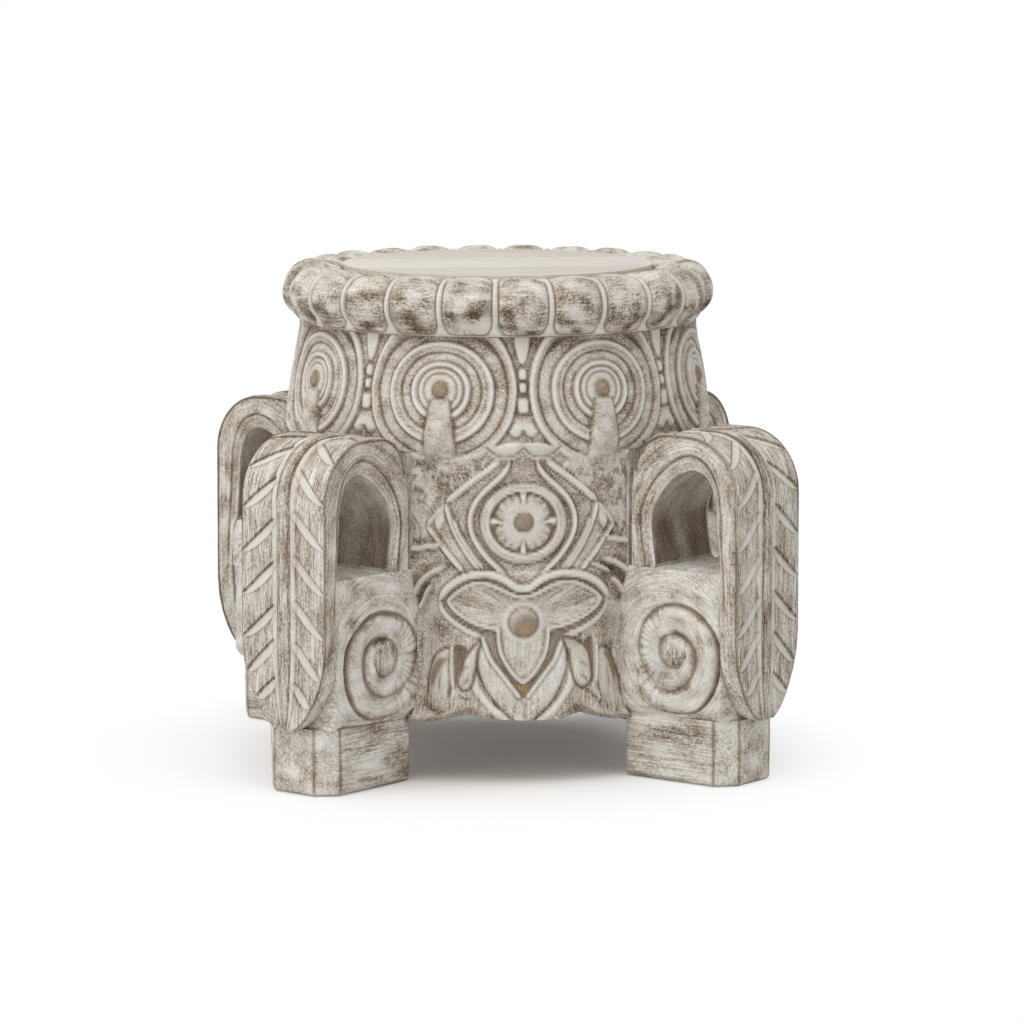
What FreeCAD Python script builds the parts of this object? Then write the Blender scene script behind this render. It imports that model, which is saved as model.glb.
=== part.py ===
import FreeCAD
import Part
import Sketcher
import os
import re

# Driving dimensions in millimetres, degrees and counts
DIMENSIONS = {
    "seat_height": 425,
    "seat_radius": 134,
    "seat_thickness": 30,
    "board_width": 92,
    "spline_length": 220,
    "spline_width": 16,
    "spline_thickness": 6,
    "rim_radius": 187,
    "rim_bottom": 377,
    "rim_tube": 25,
    "rim_lip": 122,
    "rim_groove": 6,
    "lobe_count": 24,
    "lobe_radius": 60,
    "segment_count": 12,
    "tongue_inner": 146,
    "tongue_outer": 154,
    "tongue_height": 8,
    "neck_bottom": 281,
    "neck_top_radius": 170,
    "neck_swell_radius": 183,
    "neck_swell_height": 305,
    "neck_bottom_radius": 184,
    "neck_bore": 142,
    "stave_count": 8,
    "ring_height": 334,
    "ring_depth": 2.8,
    "ring_core": 26.3,
    "ring_middle_inner": 36,
    "ring_middle_outer": 46.3,
    "ring_outer_inner": 57.6,
    "ring_outer_outer": 64.5,
    "ring_flatten": 0.83,
    "ring_boss": 9.8,
    "ring_boss_reach": 172,
    "spur_width": 26,
    "spur_top": 326,
    "spur_reach": 186,
    "spur_toe": 258,
    "apron_radius": 181,
    "carving_depth": 2.4,
    "flower_height": 222.5,
    "flower_ring_outer": 35.8,
    "flower_ring_inner": 27.4,
    "flower_petal": 16.7,
    "flower_petal_radius": 12,
    "flower_boss": 12,
    "flower_boss_reach": 171.8,
    "trefoil_height": 138.8,
    "trefoil_boss": 16.4,
    "trefoil_boss_reach": 169.6,
    "apron_bore": 150,
    "apron_bottom": 56,
    "leg_width": 90,
    "leg_outer": 288,
    "leg_inner": 150,
    "leg_top": 297,
    "leg_shoulder": 52,
    "arch_heel": 34,
    "post_thickness": 19,
    "arch_inner": 201,
    "arch_ledge": 182,
    "arch_spring": 230,
    "leaf_taper_start": 128,
    "leaf_tip": 16,
    "leaf_curve": 85,
    "scroll_width": 82,
    "scroll_radius": 47,
    "scroll_reach": 219,
    "scroll_height": 113,
    "foot_height": 56,
    "foot_width": 76,
    "foot_outer": 275,
    "foot_inner": 171,
    "foot_chamfer": 16,
    "rail_width": 40,
    "rail_height": 50,
    "rail_bottom": 95,
    "tenon_width": 30,
    "tenon_height": 40,
    "tenon_length": 28,
    "batten_width": 40,
    "batten_length": 188,
    "batten_thickness": 16,
    "batten_spread": 55,
    "screw_radius": 2.25,
    "screw_head": 4.5,
    "screw_length": 34,
    "screw_spread": 80,
    "neck_dowel_radius": 6,
    "neck_dowel_circle": 167,
    "neck_dowel_turn": 7.5,
    "neck_dowel_length": 44,
    "panel_dowel_radius": 5,
    "panel_dowel_reach": 157,
    "panel_dowel_length": 34,
    "panel_dowel_low": 100,
    "panel_dowel_high": 230,
    "leg_dowel_radius": 5,
    "leg_dowel_length": 35,
    "leg_dowel_depth": 10,
    "leg_dowel_low": 100,
    "leg_dowel_high": 150,
    "jamb_dowel_reach": 175,
    "jamb_dowel_length": 40,
    "foot_dowel_radius": 6,
    "foot_dowel_length": 60,
    "foot_dowel_near": 192,
    "foot_dowel_far": 245,
}

LEGS = {"front_right": 0, "rear_right": 90, "rear_left": 180, "front_left": 270}
PANELS = {"right": 45, "rear": 135, "left": 225, "front": 315}

doc = FreeCAD.newDocument("pedestal_stool")
sheet = doc.addObject("Spreadsheet::Sheet", "Dimensions")
for row, (alias, amount) in enumerate(DIMENSIONS.items(), start=1):
    sheet.set(f"A{row}", alias)
    sheet.set(f"B{row}", str(amount))
    sheet.setAlias(f"B{row}", alias)
doc.recompute()

parts = []


def formula(text):
    """The text with each alias pointed at its cell."""
    return re.sub(
        r"[a-z]\w+",
        lambda word: f"Dimensions.{word[0]}" if word[0] in DIMENSIONS else word[0],
        str(text),
    )


def number(text):
    return float(sheet.evalExpression(formula(text)))


def bind(thing, **sizes):
    for name, text in sizes.items():
        thing.setExpression(name, formula(text))


def place(thing, turn=0, at=("0", "0", "0"), lean=None):
    """Puts a thing at a point of a leg or panel that lies at a turn about Z."""
    spin = FreeCAD.Rotation(FreeCAD.Vector(0, 0, 1), turn)
    tilt = lean or FreeCAD.Rotation()
    spot = FreeCAD.Vector(*[number(text) for text in at])
    thing.Placement = FreeCAD.Placement(spin.multVec(spot), spin.multiply(tilt))
    x, y, z = [formula(text) for text in at]
    thing.setExpression("Placement.Base.x", f"({x}) * cos({turn}) - ({y}) * sin({turn})")
    thing.setExpression("Placement.Base.y", f"({x}) * sin({turn}) + ({y}) * cos({turn})")
    thing.setExpression("Placement.Base.z", z)
    return thing


def outline(body, name, role, *loops):
    """A sketch of closed loops: each step is a corner, reached by a line or, with a radius, an arc."""
    sketch = body.newObject("Sketcher::SketchObject", name)
    plane = [feature for feature in body.Origin.OriginFeatures if feature.Role == role][0]
    sketch.AttachmentSupport = [(plane, "")]
    sketch.MapMode = "FlatFace"
    for steps in loops:
        corners = [FreeCAD.Vector(number(step[0]), number(step[1]), 0) for step in steps]
        marks = []
        for index, step in enumerate(steps):
            start = corners[index - 1]
            end = corners[index]
            if len(step) == 2:
                edge = sketch.addGeometry(Part.LineSegment(start, end), False)
                marks.append((edge, 1, 2))
                continue
            radius = number(step[2])
            turn = 1 if step[3] == "left" else -1
            chord = end - start
            normal = FreeCAD.Vector(chord.y, -chord.x, 0).normalize() * turn
            sag = radius - max(radius**2 - (chord.Length / 2) ** 2, 0) ** 0.5
            middle = (start + end) / 2 + normal * sag
            edge = sketch.addGeometry(Part.Arc(start, middle, end), False)
            marks.append((edge, 1, 2) if turn == 1 else (edge, 2, 1))
            if chord.Length < 2 * radius - 0.001:
                rule = sketch.addConstraint(Sketcher.Constraint("Radius", edge, radius))
                sketch.renameConstraint(rule, f"radius_{edge}")
                sketch.setExpression(f"Constraints.radius_{edge}", formula(step[2]))
            else:
                upright = abs(chord.x) < abs(chord.y)
                kind, text = ("DistanceX", step[0]) if upright else ("DistanceY", step[1])
                rule = sketch.addConstraint(Sketcher.Constraint(kind, -1, 1, edge, 3, number(text)))
                sketch.renameConstraint(rule, f"centre_{edge}")
                sketch.setExpression(f"Constraints.centre_{edge}", formula(text))
        for index, step in enumerate(steps):
            edge, first, last = marks[index]
            before, _, joined = marks[index - 1]
            sketch.addConstraint(Sketcher.Constraint("Coincident", before, joined, edge, first))
            for kind, axis, text in (("DistanceX", -2, step[0]), ("DistanceY", -1, step[1])):
                amount = number(text)
                if abs(amount) < 0.000001:
                    sketch.addConstraint(Sketcher.Constraint("PointOnObject", edge, last, axis))
                    continue
                rule = sketch.addConstraint(Sketcher.Constraint(kind, -1, 1, edge, last, amount))
                sketch.renameConstraint(rule, f"{kind}_{edge}")
                sketch.setExpression(f"Constraints.{kind}_{edge}", formula(text))
    return sketch


def rectangle(left, low, right, high):
    return [(right, low), (right, high), (left, high), (left, low)]


def pad(body, name, sketch, length, both_ways=False):
    feature = body.newObject("PartDesign::Pad", name)
    feature.Profile = sketch
    feature.SideType = "Symmetric" if both_ways else "One side"
    bind(feature, Length=length)
    return feature


def pocket(body, name, sketch):
    feature = body.newObject("PartDesign::Pocket", name)
    feature.Profile = sketch
    feature.SideType = "Symmetric"
    feature.Type = "ThroughAll"
    return feature


def revolve(body, name, sketch, angle, axis="V_Axis"):
    feature = body.newObject("PartDesign::Revolution", name)
    feature.Profile = sketch
    feature.ReferenceAxis = (sketch, [axis])
    feature.Midplane = True
    bind(feature, Angle=angle)
    return feature


def groove(body, name, sketch, angle):
    feature = body.newObject("PartDesign::Groove", name)
    feature.Profile = sketch
    feature.ReferenceAxis = (sketch, ["V_Axis"])
    feature.Midplane = True
    bind(feature, Angle=angle)
    return feature


def cut(name, base, *tools):
    """The base less each tool in turn."""
    for index, tool in enumerate(tools, start=1):
        less = doc.addObject("Part::Cut", f"{name}_cut_{index}")
        less.Base = base
        less.Tool = tool
        base = less
    return base


def group(name, pieces):
    bundle = doc.addObject("Part::Compound", f"{name}_group")
    bundle.Links = pieces
    return bundle


def keep(label, thing):
    thing.Label = label
    parts.append(thing)
    return thing


def rod(name, radius, length, turn, at, lean=None):
    piece = doc.addObject("Part::Cylinder", name)
    bind(piece, Radius=radius, Height=length)
    return place(piece, turn, at, lean)


def circle(up, radius):
    """A full circle about a point of the middle line, as two half turns."""
    return [(f"-{radius}", up, radius, "left"), (radius, up, radius, "left")]


def mirrored(loop):
    """The same loop on the other side of the middle line."""
    flip = {"left": "right", "right": "left"}
    return [(f"-({step[0]})", step[1], *[flip.get(more, more) for more in step[2:]]) for step in loop]


def prism(name, turn, *loops):
    """An ornament's outline, drawn on the plane across a panel and run outward."""
    body = doc.addObject("PartDesign::Body", f"{name}_body")
    drawing = outline(body, f"{name}_outline", "YZ_Plane", *loops)
    pad(body, f"{name}_prism", drawing, "leg_outer")
    return place(body, turn)


def joined(name, pieces):
    whole = doc.addObject("Part::MultiFuse", name)
    whole.Shapes = pieces
    return whole


def overlap(name, base, tool):
    shared = doc.addObject("Part::Common", name)
    shared.Base = base
    shared.Tool = tool
    return shared


def ball(name, radius, turn, at):
    piece = doc.addObject("Part::Sphere", name)
    bind(piece, Radius=radius)
    return place(piece, turn, at)


OUTWARD = FreeCAD.Rotation(FreeCAD.Vector(0, 1, 0), 90)
LEFTWARD = FreeCAD.Rotation(FreeCAD.Vector(1, 0, 0), -90)
RIGHTWARD = FreeCAD.Rotation(FreeCAD.Vector(1, 0, 0), 90)

# Foot dowels: two upright in each foot, into the scroll block above
pieces = []
for leg, turn in LEGS.items():
    for spot in ("near", "far"):
        at = (f"foot_dowel_{spot}", "0", "foot_height - foot_dowel_length / 2")
        pieces.append(rod(f"foot_dowel_{leg}_{spot}", "foot_dowel_radius", "foot_dowel_length", turn, at))
foot_dowels = keep("foot_dowels", group("foot_dowels", pieces))

# Leg dowels: two level ones from scroll block to post, one upright from scroll block to jamb
pieces = []
for leg, turn in LEGS.items():
    for spot in ("low", "high"):
        at = (
            "leg_outer - post_thickness + leg_dowel_depth - leg_dowel_length",
            "0",
            f"leg_dowel_{spot}",
        )
        name = f"leg_dowel_{leg}_{spot}"
        pieces.append(rod(name, "leg_dowel_radius", "leg_dowel_length", turn, at, OUTWARD))
    at = ("jamb_dowel_reach", "0", "arch_ledge - jamb_dowel_length / 2")
    pieces.append(rod(f"jamb_dowel_{leg}", "leg_dowel_radius", "jamb_dowel_length", turn, at))
leg_dowels = keep("leg_dowels", group("leg_dowels", pieces))

# Panel dowels: level, from the sides of each leg into the ends of the apron panels
pieces = []
for leg, turn in LEGS.items():
    for spot in ("low", "high"):
        for side, sign, lean in (("left", "", LEFTWARD), ("right", "-", RIGHTWARD)):
            at = (
                "panel_dowel_reach",
                f"{sign}(leg_width / 2 - panel_dowel_length / 2)",
                f"panel_dowel_{spot}",
            )
            name = f"panel_dowel_{leg}_{spot}_{side}"
            pieces.append(rod(name, "panel_dowel_radius", "panel_dowel_length", turn, at, lean))
panel_dowels = keep("panel_dowels", group("panel_dowels", pieces))

# Neck dowels: upright, a pair over each leg and each apron panel, one pair to each stave
pieces = []
for turn in range(0, 360, 45):
    for side, sign in (("left", ""), ("right", "-")):
        at = (
            "neck_dowel_circle * cos(neck_dowel_turn)",
            f"{sign}neck_dowel_circle * sin(neck_dowel_turn)",
            "neck_bottom - neck_dowel_length / 2",
        )
        name = f"neck_dowel_{turn}_{side}"
        pieces.append(rod(name, "neck_dowel_radius", "neck_dowel_length", turn, at))
neck_dowels = keep("neck_dowels", group("neck_dowels", pieces))

# Cross rails: half-lapped at the centre, with a tenon into each scroll block
rails = {}
for name, turn, low, high in (
    ("cross_rail_lower", 0, "rail_bottom + rail_height / 2", "rail_bottom + rail_height"),
    ("cross_rail_upper", 90, "rail_bottom", "rail_bottom + rail_height / 2"),
):
    body = doc.addObject("PartDesign::Body", f"{name}_body")
    section = outline(
        body,
        f"{name}_section",
        "YZ_Plane",
        rectangle("-rail_width / 2", "rail_bottom", "rail_width / 2", "rail_bottom + rail_height"),
    )
    pad(body, f"{name}_bar", section, "2 * leg_inner", True)
    margin = "(rail_height - tenon_height) / 2"
    section = outline(
        body,
        f"{name}_tenon_section",
        "YZ_Plane",
        rectangle(
            "-tenon_width / 2",
            f"rail_bottom + {margin}",
            "tenon_width / 2",
            f"rail_bottom + rail_height - {margin}",
        ),
    )
    pad(body, f"{name}_tenons", section, "2 * leg_inner + 2 * tenon_length", True)
    lap = outline(
        body,
        f"{name}_lap_outline",
        "XZ_Plane",
        rectangle("-rail_width / 2", low, "rail_width / 2", high),
    )
    pocket(body, f"{name}_lap", lap)
    place(body, turn)
    rails[turn] = keep(name, body)

# Legs: a foot block, a scroll block on it, and an arched strap that runs down the front as a leaf
for leg, turn in LEGS.items():
    body = doc.addObject("PartDesign::Body", f"foot_{leg}_body")
    sole = outline(
        body,
        f"foot_{leg}_sole",
        "XY_Plane",
        rectangle("foot_inner", "-foot_width / 2", "foot_outer", "foot_width / 2"),
    )
    block = pad(body, f"foot_{leg}_block", sole, "foot_height")
    doc.recompute()
    corners = []
    for index, edge in enumerate(block.Shape.Edges, start=1):
        upright = abs(edge.tangentAt(edge.FirstParameter).z) > 0.99
        if upright and edge.CenterOfMass.x > number("foot_outer") - 1:
            corners.append(f"Edge{index}")
    bevel = body.newObject("PartDesign::Chamfer", f"foot_{leg}_bevel")
    bevel.Base = (block, corners)
    bind(bevel, Size="foot_chamfer")
    place(body, turn)
    keep(f"foot_{leg}", cut(f"foot_{leg}", body, foot_dowels))

    body = doc.addObject("PartDesign::Body", f"scroll_{leg}_body")
    side = outline(
        body,
        f"scroll_{leg}_side",
        "XZ_Plane",
        rectangle("leg_inner", "foot_height", "leg_outer - post_thickness", "arch_ledge"),
    )
    pad(body, f"scroll_{leg}_block", side, "scroll_width", True)
    disc = outline(
        body,
        f"scroll_{leg}_disc",
        "XZ_Plane",
        [
            ("scroll_reach - scroll_radius", "scroll_height", "scroll_radius", "left"),
            ("scroll_reach + scroll_radius", "scroll_height", "scroll_radius", "left"),
        ],
    )
    pad(body, f"scroll_{leg}_volute", disc, "leg_width", True)
    place(body, turn)
    tools = [foot_dowels, leg_dowels, panel_dowels, rails[turn % 180]]
    keep(f"scroll_block_{leg}", cut(f"scroll_block_{leg}", body, *tools))

    body = doc.addObject("PartDesign::Body", f"strap_{leg}_body")
    post_back = "leg_outer - post_thickness"
    side = outline(
        body,
        f"strap_{leg}_side",
        "XZ_Plane",
        [
            (post_back, "foot_height"),
            ("leg_outer", "foot_height"),
            ("leg_outer", "leg_top - leg_shoulder"),
            ("leg_outer - leg_shoulder", "leg_top", "leg_shoulder", "left"),
            ("apron_radius + arch_heel", "leg_top"),
            ("apron_radius", "leg_top - arch_heel", "arch_heel", "left"),
            ("apron_radius", "neck_bottom"),
            ("leg_inner", "neck_bottom"),
            ("leg_inner", "arch_ledge"),
            ("arch_inner", "arch_ledge"),
            ("arch_inner", "arch_spring"),
            (post_back, "arch_spring", f"({post_back} - arch_inner) / 2", "right"),
        ],
    )
    pad(body, f"strap_{leg}_bend", side, "leg_width", True)
    half = "leg_width / 2"
    leaf = outline(
        body,
        f"strap_{leg}_leaf",
        "YZ_Plane",
        [
            ("leg_width", "leaf_taper_start"),
            ("leg_width", "foot_height - 10"),
            ("leaf_tip / 2", "foot_height - 10"),
            ("leaf_tip / 2", "foot_height"),
            (half, "leaf_taper_start", "leaf_curve", "left"),
        ],
        [
            ("-leg_width", "leaf_taper_start"),
            (f"-{half}", "leaf_taper_start"),
            ("-leaf_tip / 2", "foot_height", "leaf_curve", "left"),
            ("-leaf_tip / 2", "foot_height - 10"),
            ("-leg_width", "foot_height - 10"),
        ],
    )
    pocket(body, f"strap_{leg}_leaf_cut", leaf)
    place(body, turn)
    keep(f"leg_strap_{leg}", cut(f"leg_strap_{leg}", body, leg_dowels, panel_dowels, neck_dowels))

# Apron panels: quarter drums between the legs, with the main bands of the carving standing proud
slots = []
for name, turn in (("leg_slot_x", 0), ("leg_slot_y", 90)):
    slot = doc.addObject("Part::Box", name)
    bind(slot, Length="2 * leg_outer", Width="leg_width", Height="seat_height")
    slots.append(place(slot, turn, ("-leg_outer", "-leg_width / 2", "0")))
flower, clover = "flower_height", "trefoil_height"
petals = [
    ("flower_petal", flower, "flower_petal_radius", "left"),
    ("0", f"{flower} + flower_petal", "flower_petal_radius", "left"),
    ("-flower_petal", flower, "flower_petal_radius", "left"),
    ("0", f"{flower} - flower_petal", "flower_petal_radius", "left"),
]
ogee = [
    ("14.4", f"{flower} + 54.5"),
    ("16.6", f"{flower} + 47"),
    ("29.5", f"{flower} + 33.1"),
    ("32.4", f"{flower} - 31", "39", "right"),
    ("16", f"{flower} - 49"),
    ("12", f"{flower} - 45"),
    ("29.2", f"{flower} - 26.7"),
    ("26.6", f"{flower} + 28.5", "33.6", "left"),
    ("11.4", f"{flower} + 44.5"),
    ("9", f"{flower} + 54.5"),
]
frame_high = [
    ("21.5", f"{flower} + 57.5"),
    ("16.5", f"{flower} + 51.4"),
    ("63.5", f"{flower} + 13.4"),
    ("68.5", f"{flower} + 19.6"),
]
frame_low = [
    ("68.8", f"{flower} + 15.7"),
    ("63.3", f"{flower} + 17.1"),
    ("57.4", f"{flower} - 2.3"),
    ("35.2", f"{flower} - 38.5"),
    ("40", f"{flower} - 41.3"),
    ("62.6", f"{flower} - 4.7"),
]
frame_outer = [
    ("85.1", f"{flower} - 5.2"),
    ("80.9", f"{flower} - 1.8"),
    ("48.9", f"{flower} - 39.8"),
    ("53.1", f"{flower} - 43.2"),
]
shoulder = [
    ("0", f"{clover} + 31.5"),
    ("12", f"{clover} + 37.5"),
    ("68", f"{clover} + 34.5", "53", "right"),
    ("81.3", f"{clover} + 19.9"),
    ("75.7", f"{clover} + 15.5"),
    ("64.5", f"{clover} + 28.2"),
    ("13.5", f"{clover} + 29.9", "48.2", "left"),
    ("0", f"{clover} + 24.5"),
    ("-13.5", f"{clover} + 29.9"),
    ("-64.5", f"{clover} + 28.2", "48.2", "left"),
    ("-75.7", f"{clover} + 15.5"),
    ("-81.3", f"{clover} + 19.9"),
    ("-68", f"{clover} + 34.5"),
    ("-12", f"{clover} + 37.5", "53", "right"),
]


def trefoil(crown, tip, notch, root, over, under, side):
    """Three petals as one loop, from the middle of the top round by the right."""
    return [
        (tip, f"{clover} + 17", over, "right"),
        (notch[0], f"{clover} + {notch[1]}", under, "right"),
        ("0", f"{clover} + {root}", side, "right"),
        (f"-{notch[0]}", f"{clover} + {notch[1]}", side, "right"),
        (f"-{tip}", f"{clover} + 17", under, "right"),
        ("0", f"{clover} + {crown}", over, "right"),
    ]


cup = [
    ("0", f"{clover} - 64.8"),
    ("6", f"{clover} - 64.8"),
    ("24", f"{clover} - 38.8"),
    ("33", f"{clover} - 14.8"),
    ("38.8", f"{clover} - 26.8"),
    ("38.8", f"{clover} - 40.8"),
    ("29.5", f"{clover} - 61.8"),
    ("12", "apron_bottom + 2"),
    ("-12", "apron_bottom + 2"),
    ("-29.5", f"{clover} - 61.8"),
    ("-38.8", f"{clover} - 40.8"),
    ("-38.8", f"{clover} - 26.8"),
    ("-33", f"{clover} - 14.8"),
    ("-24", f"{clover} - 38.8"),
    ("-6", f"{clover} - 64.8"),
]
leaf_near = [
    ("36", f"{clover} - 14.5"),
    ("42", f"{clover} - 38"),
    ("46", f"{clover} - 56"),
    ("57", f"{clover} - 58"),
    ("60", f"{clover} - 40"),
    ("54", f"{clover} - 22"),
]
leaf_far = [
    ("67", f"{clover} - 26"),
    ("67", f"{clover} - 60"),
    ("80", f"{clover} - 71"),
    ("93", f"{clover} - 68"),
    ("92", f"{clover} - 46"),
    ("80", f"{clover} - 27"),
]
for panel, turn in PANELS.items():
    layers = {}
    depths = {
        "ground": ("apron_bore", "apron_radius - carving_depth"),
        "crest": ("apron_bore + 4", "apron_radius"),
    }
    for layer, (low, high) in depths.items():
        body = doc.addObject("PartDesign::Body", f"apron_{panel}_{layer}_body")
        section = outline(
            body,
            f"apron_{panel}_{layer}_section",
            "XZ_Plane",
            rectangle(low, "apron_bottom", high, "neck_bottom"),
        )
        revolve(body, f"apron_{panel}_{layer}_curve", section, "90")
        layers[layer] = place(body, turn)
    drawings = {
        "flower": [circle(flower, "flower_ring_outer"), circle(flower, "flower_ring_inner"), petals],
        "ogee": [ogee, mirrored(ogee)],
        "frame_high": [frame_high, mirrored(frame_high)],
        "frame_low": [frame_low, mirrored(frame_low)],
        "frame_outer": [frame_outer, mirrored(frame_outer)],
        "shoulder": [shoulder],
        "trefoil": [
            trefoil("23", "73.2", ("23.2", "-8.5"), "-54.2", "54", "76", "53"),
            trefoil("18.4", "66.3", ("19", "-4"), "-48.4", "50", "72", "50"),
        ],
        "cup": [cup],
        "leaves": [leaf_near, mirrored(leaf_near), leaf_far, mirrored(leaf_far)],
    }
    prisms = [prism(f"apron_{panel}_{name}", turn, *loops) for name, loops in drawings.items()]
    bands = overlap(f"apron_{panel}_bands", layers["crest"], joined(f"apron_{panel}_prisms", prisms))
    pieces = [layers["ground"], bands]
    for boss, height in (("flower_boss", flower), ("trefoil_boss", clover)):
        pieces.append(ball(f"apron_{panel}_{boss}", boss, turn, (f"{boss}_reach", "0", height)))
    for side in (-1, 1):
        body = doc.addObject("PartDesign::Body", f"apron_{panel}_spur_{side + 2}_body")
        toe = outline(
            body,
            f"apron_{panel}_spur_{side + 2}_side",
            "XZ_Plane",
            [
                ("apron_bore + 10", "spur_toe"),
                ("apron_radius - carving_depth - 1", "spur_toe"),
                ("spur_reach - 1", "neck_bottom"),
                ("apron_bore + 10", "neck_bottom"),
            ],
        )
        pad(body, f"apron_{panel}_spur_{side + 2}", toe, "spur_width", True)
        pieces.append(place(body, turn + side * 180 / DIMENSIONS["stave_count"]))
    carved = joined(f"apron_{panel}_carved", pieces)
    tools = slots + [panel_dowels, neck_dowels]
    keep(f"apron_panel_{panel}", cut(f"apron_panel_{panel}", carved, *tools))

# Neck staves: a flared ring of glued staves with a turned tongue on top and a ringed boss on each


def flattened(radius):
    """A circle about the ring's middle whose upper half is pressed down."""
    drop = f"({radius} * ring_flatten)"
    return [
        (f"-{radius}", "ring_height", f"({radius} ^ 2 + {drop} ^ 2) / (2 * {drop})", "left"),
        (radius, "ring_height", radius, "left"),
    ]


for index in range(DIMENSIONS["stave_count"]):
    name = f"neck_stave_{index + 1}"
    turn = (index + 0.5) * 360 / DIMENSIONS["stave_count"]
    layers = {}
    for layer, bore, sink in (("ground", "neck_bore", " - ring_depth"), ("crest", "tongue_outer", "")):
        body = doc.addObject("PartDesign::Body", f"{name}_{layer}_body")
        tongue = [
            ("tongue_outer", "rim_bottom"),
            ("tongue_outer", "rim_bottom + tongue_height"),
            ("tongue_inner", "rim_bottom + tongue_height"),
            ("tongue_inner", "rim_bottom"),
        ]
        section = outline(
            body,
            f"{name}_{layer}_section",
            "XZ_Plane",
            [
                (bore, "neck_bottom"),
                (f"neck_bottom_radius{sink}", "neck_bottom"),
                (f"neck_swell_radius{sink}", "neck_swell_height"),
                (f"neck_top_radius{sink}", "rim_bottom"),
                *(tongue if layer == "ground" else []),
                (bore, "rim_bottom"),
            ],
        )
        revolve(body, f"{name}_{layer}_flare", section, "360 / stave_count")
        layers[layer] = place(body, turn)
    rings = prism(
        f"{name}_rings",
        turn,
        flattened("ring_core"),
        flattened("ring_middle_inner"),
        flattened("ring_middle_outer"),
        circle("ring_height", "ring_outer_inner"),
        circle("ring_height", "ring_outer_outer"),
    )
    body = doc.addObject("PartDesign::Body", f"{name}_spur_body")
    spur = outline(
        body,
        f"{name}_spur_side",
        "XZ_Plane",
        [
            ("neck_bore + 10", "neck_bottom"),
            ("spur_reach - 1", "neck_bottom"),
            ("spur_reach", "spur_top - 4"),
            ("neck_top_radius", "spur_top"),
            ("neck_bore + 10", "spur_top"),
        ],
    )
    pad(body, f"{name}_spur", spur, "spur_width", True)
    pieces = [layers["ground"], overlap(f"{name}_bands", layers["crest"], rings), place(body, turn)]
    pieces.append(ball(f"{name}_boss", "ring_boss", turn, ("ring_boss_reach", "0", "ring_height")))
    keep(name, cut(name, joined(f"{name}_carved", pieces), neck_dowels))

# Rim segments: two gadroon lobes each on a grooved ring, ends meeting in the grooves
pitch = 360 / DIMENSIONS["lobe_count"]
for index in range(DIMENSIONS["segment_count"]):
    name = f"rim_segment_{index + 1:02d}"
    turn = PANELS["front"] + pitch / 2 + index * 2 * pitch
    body = doc.addObject("PartDesign::Body", f"{name}_body")
    centre = "rim_bottom + rim_tube"
    core = "rim_tube - rim_groove"
    hub = "rim_radius - rim_groove - rim_tube"
    section = outline(
        body,
        f"{name}_core_section",
        "XZ_Plane",
        [
            ("rim_lip", "rim_bottom"),
            (hub, "rim_bottom"),
            (hub, f"{centre} - ({core})"),
            (hub, f"{centre} + {core}", core, "left"),
            ("seat_radius", f"{centre} + {core}"),
            ("seat_radius", "seat_height - seat_thickness"),
            ("rim_lip", "seat_height - seat_thickness"),
        ],
    )
    revolve(body, f"{name}_core", section, "360 / segment_count")
    for side in (-1, 1):
        lobe = outline(
            body,
            f"{name}_lobe_section_{side + 2}",
            "XZ_Plane",
            [
                ("tongue_outer + 2", "rim_bottom"),
                ("rim_radius - rim_tube", "rim_bottom"),
                ("rim_radius - rim_tube", "rim_bottom + 2 * rim_tube", "rim_tube", "left"),
                ("seat_radius + 8", "seat_height"),
                ("seat_radius + 8", centre),
                ("tongue_outer + 2", centre),
            ],
        )
        lobe.AttachmentOffset = FreeCAD.Placement(
            FreeCAD.Vector(), FreeCAD.Rotation(FreeCAD.Vector(0, 1, 0), side * pitch / 2)
        )
        reach = number("rim_radius - lobe_radius")
        low = FreeCAD.Vector(reach, number("rim_bottom"), 0)
        high = FreeCAD.Vector(reach, number("seat_height"), 0)
        axis = lobe.addGeometry(Part.LineSegment(low, high), True)
        lobe.addConstraint(Sketcher.Constraint("Vertical", axis))
        rule = lobe.addConstraint(Sketcher.Constraint("DistanceX", -1, 1, axis, 1, reach))
        lobe.renameConstraint(rule, "lobe_axis")
        lobe.setExpression("Constraints.lobe_axis", formula("rim_radius - lobe_radius"))
        revolve(body, f"{name}_lobe_{side + 2}", lobe, "100", "Axis0")
    slot = outline(
        body,
        f"{name}_slot_section",
        "XZ_Plane",
        rectangle("tongue_inner", "rim_bottom - 1", "tongue_outer", "rim_bottom + tongue_height + 0.5"),
    )
    groove(body, f"{name}_slot", slot, "720 / segment_count")
    place(body, turn)
    wedge = doc.addObject("Part::Cylinder", f"{name}_wedge")
    bind(wedge, Radius="rim_radius + 20", Height="seat_height + 50", Angle="360 / segment_count")
    place(wedge, turn - pitch)
    segment = doc.addObject("Part::Common", f"{name}_trim")
    segment.Base = body
    segment.Tool = wedge
    keep(name, segment)

# Seat: three boards joined by splines, with two battens screwed on below
SEAT_TURN = 45
half = "board_width / 2"
end = "sqrt(seat_radius ^ 2 - (board_width / 2) ^ 2)"
splines = []
for side, sign in (("front", "-"), ("rear", "")):
    strip = doc.addObject("Part::Box", f"seat_spline_{side}")
    bind(strip, Length="spline_length", Width="spline_width", Height="spline_thickness")
    at = (
        "-spline_length / 2",
        f"{sign}{half} - spline_width / 2",
        "seat_height - seat_thickness / 2 - spline_thickness / 2",
    )
    splines.append(place(strip, SEAT_TURN, at))
seat_splines = keep("seat_splines", group("seat_splines", splines))

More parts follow.
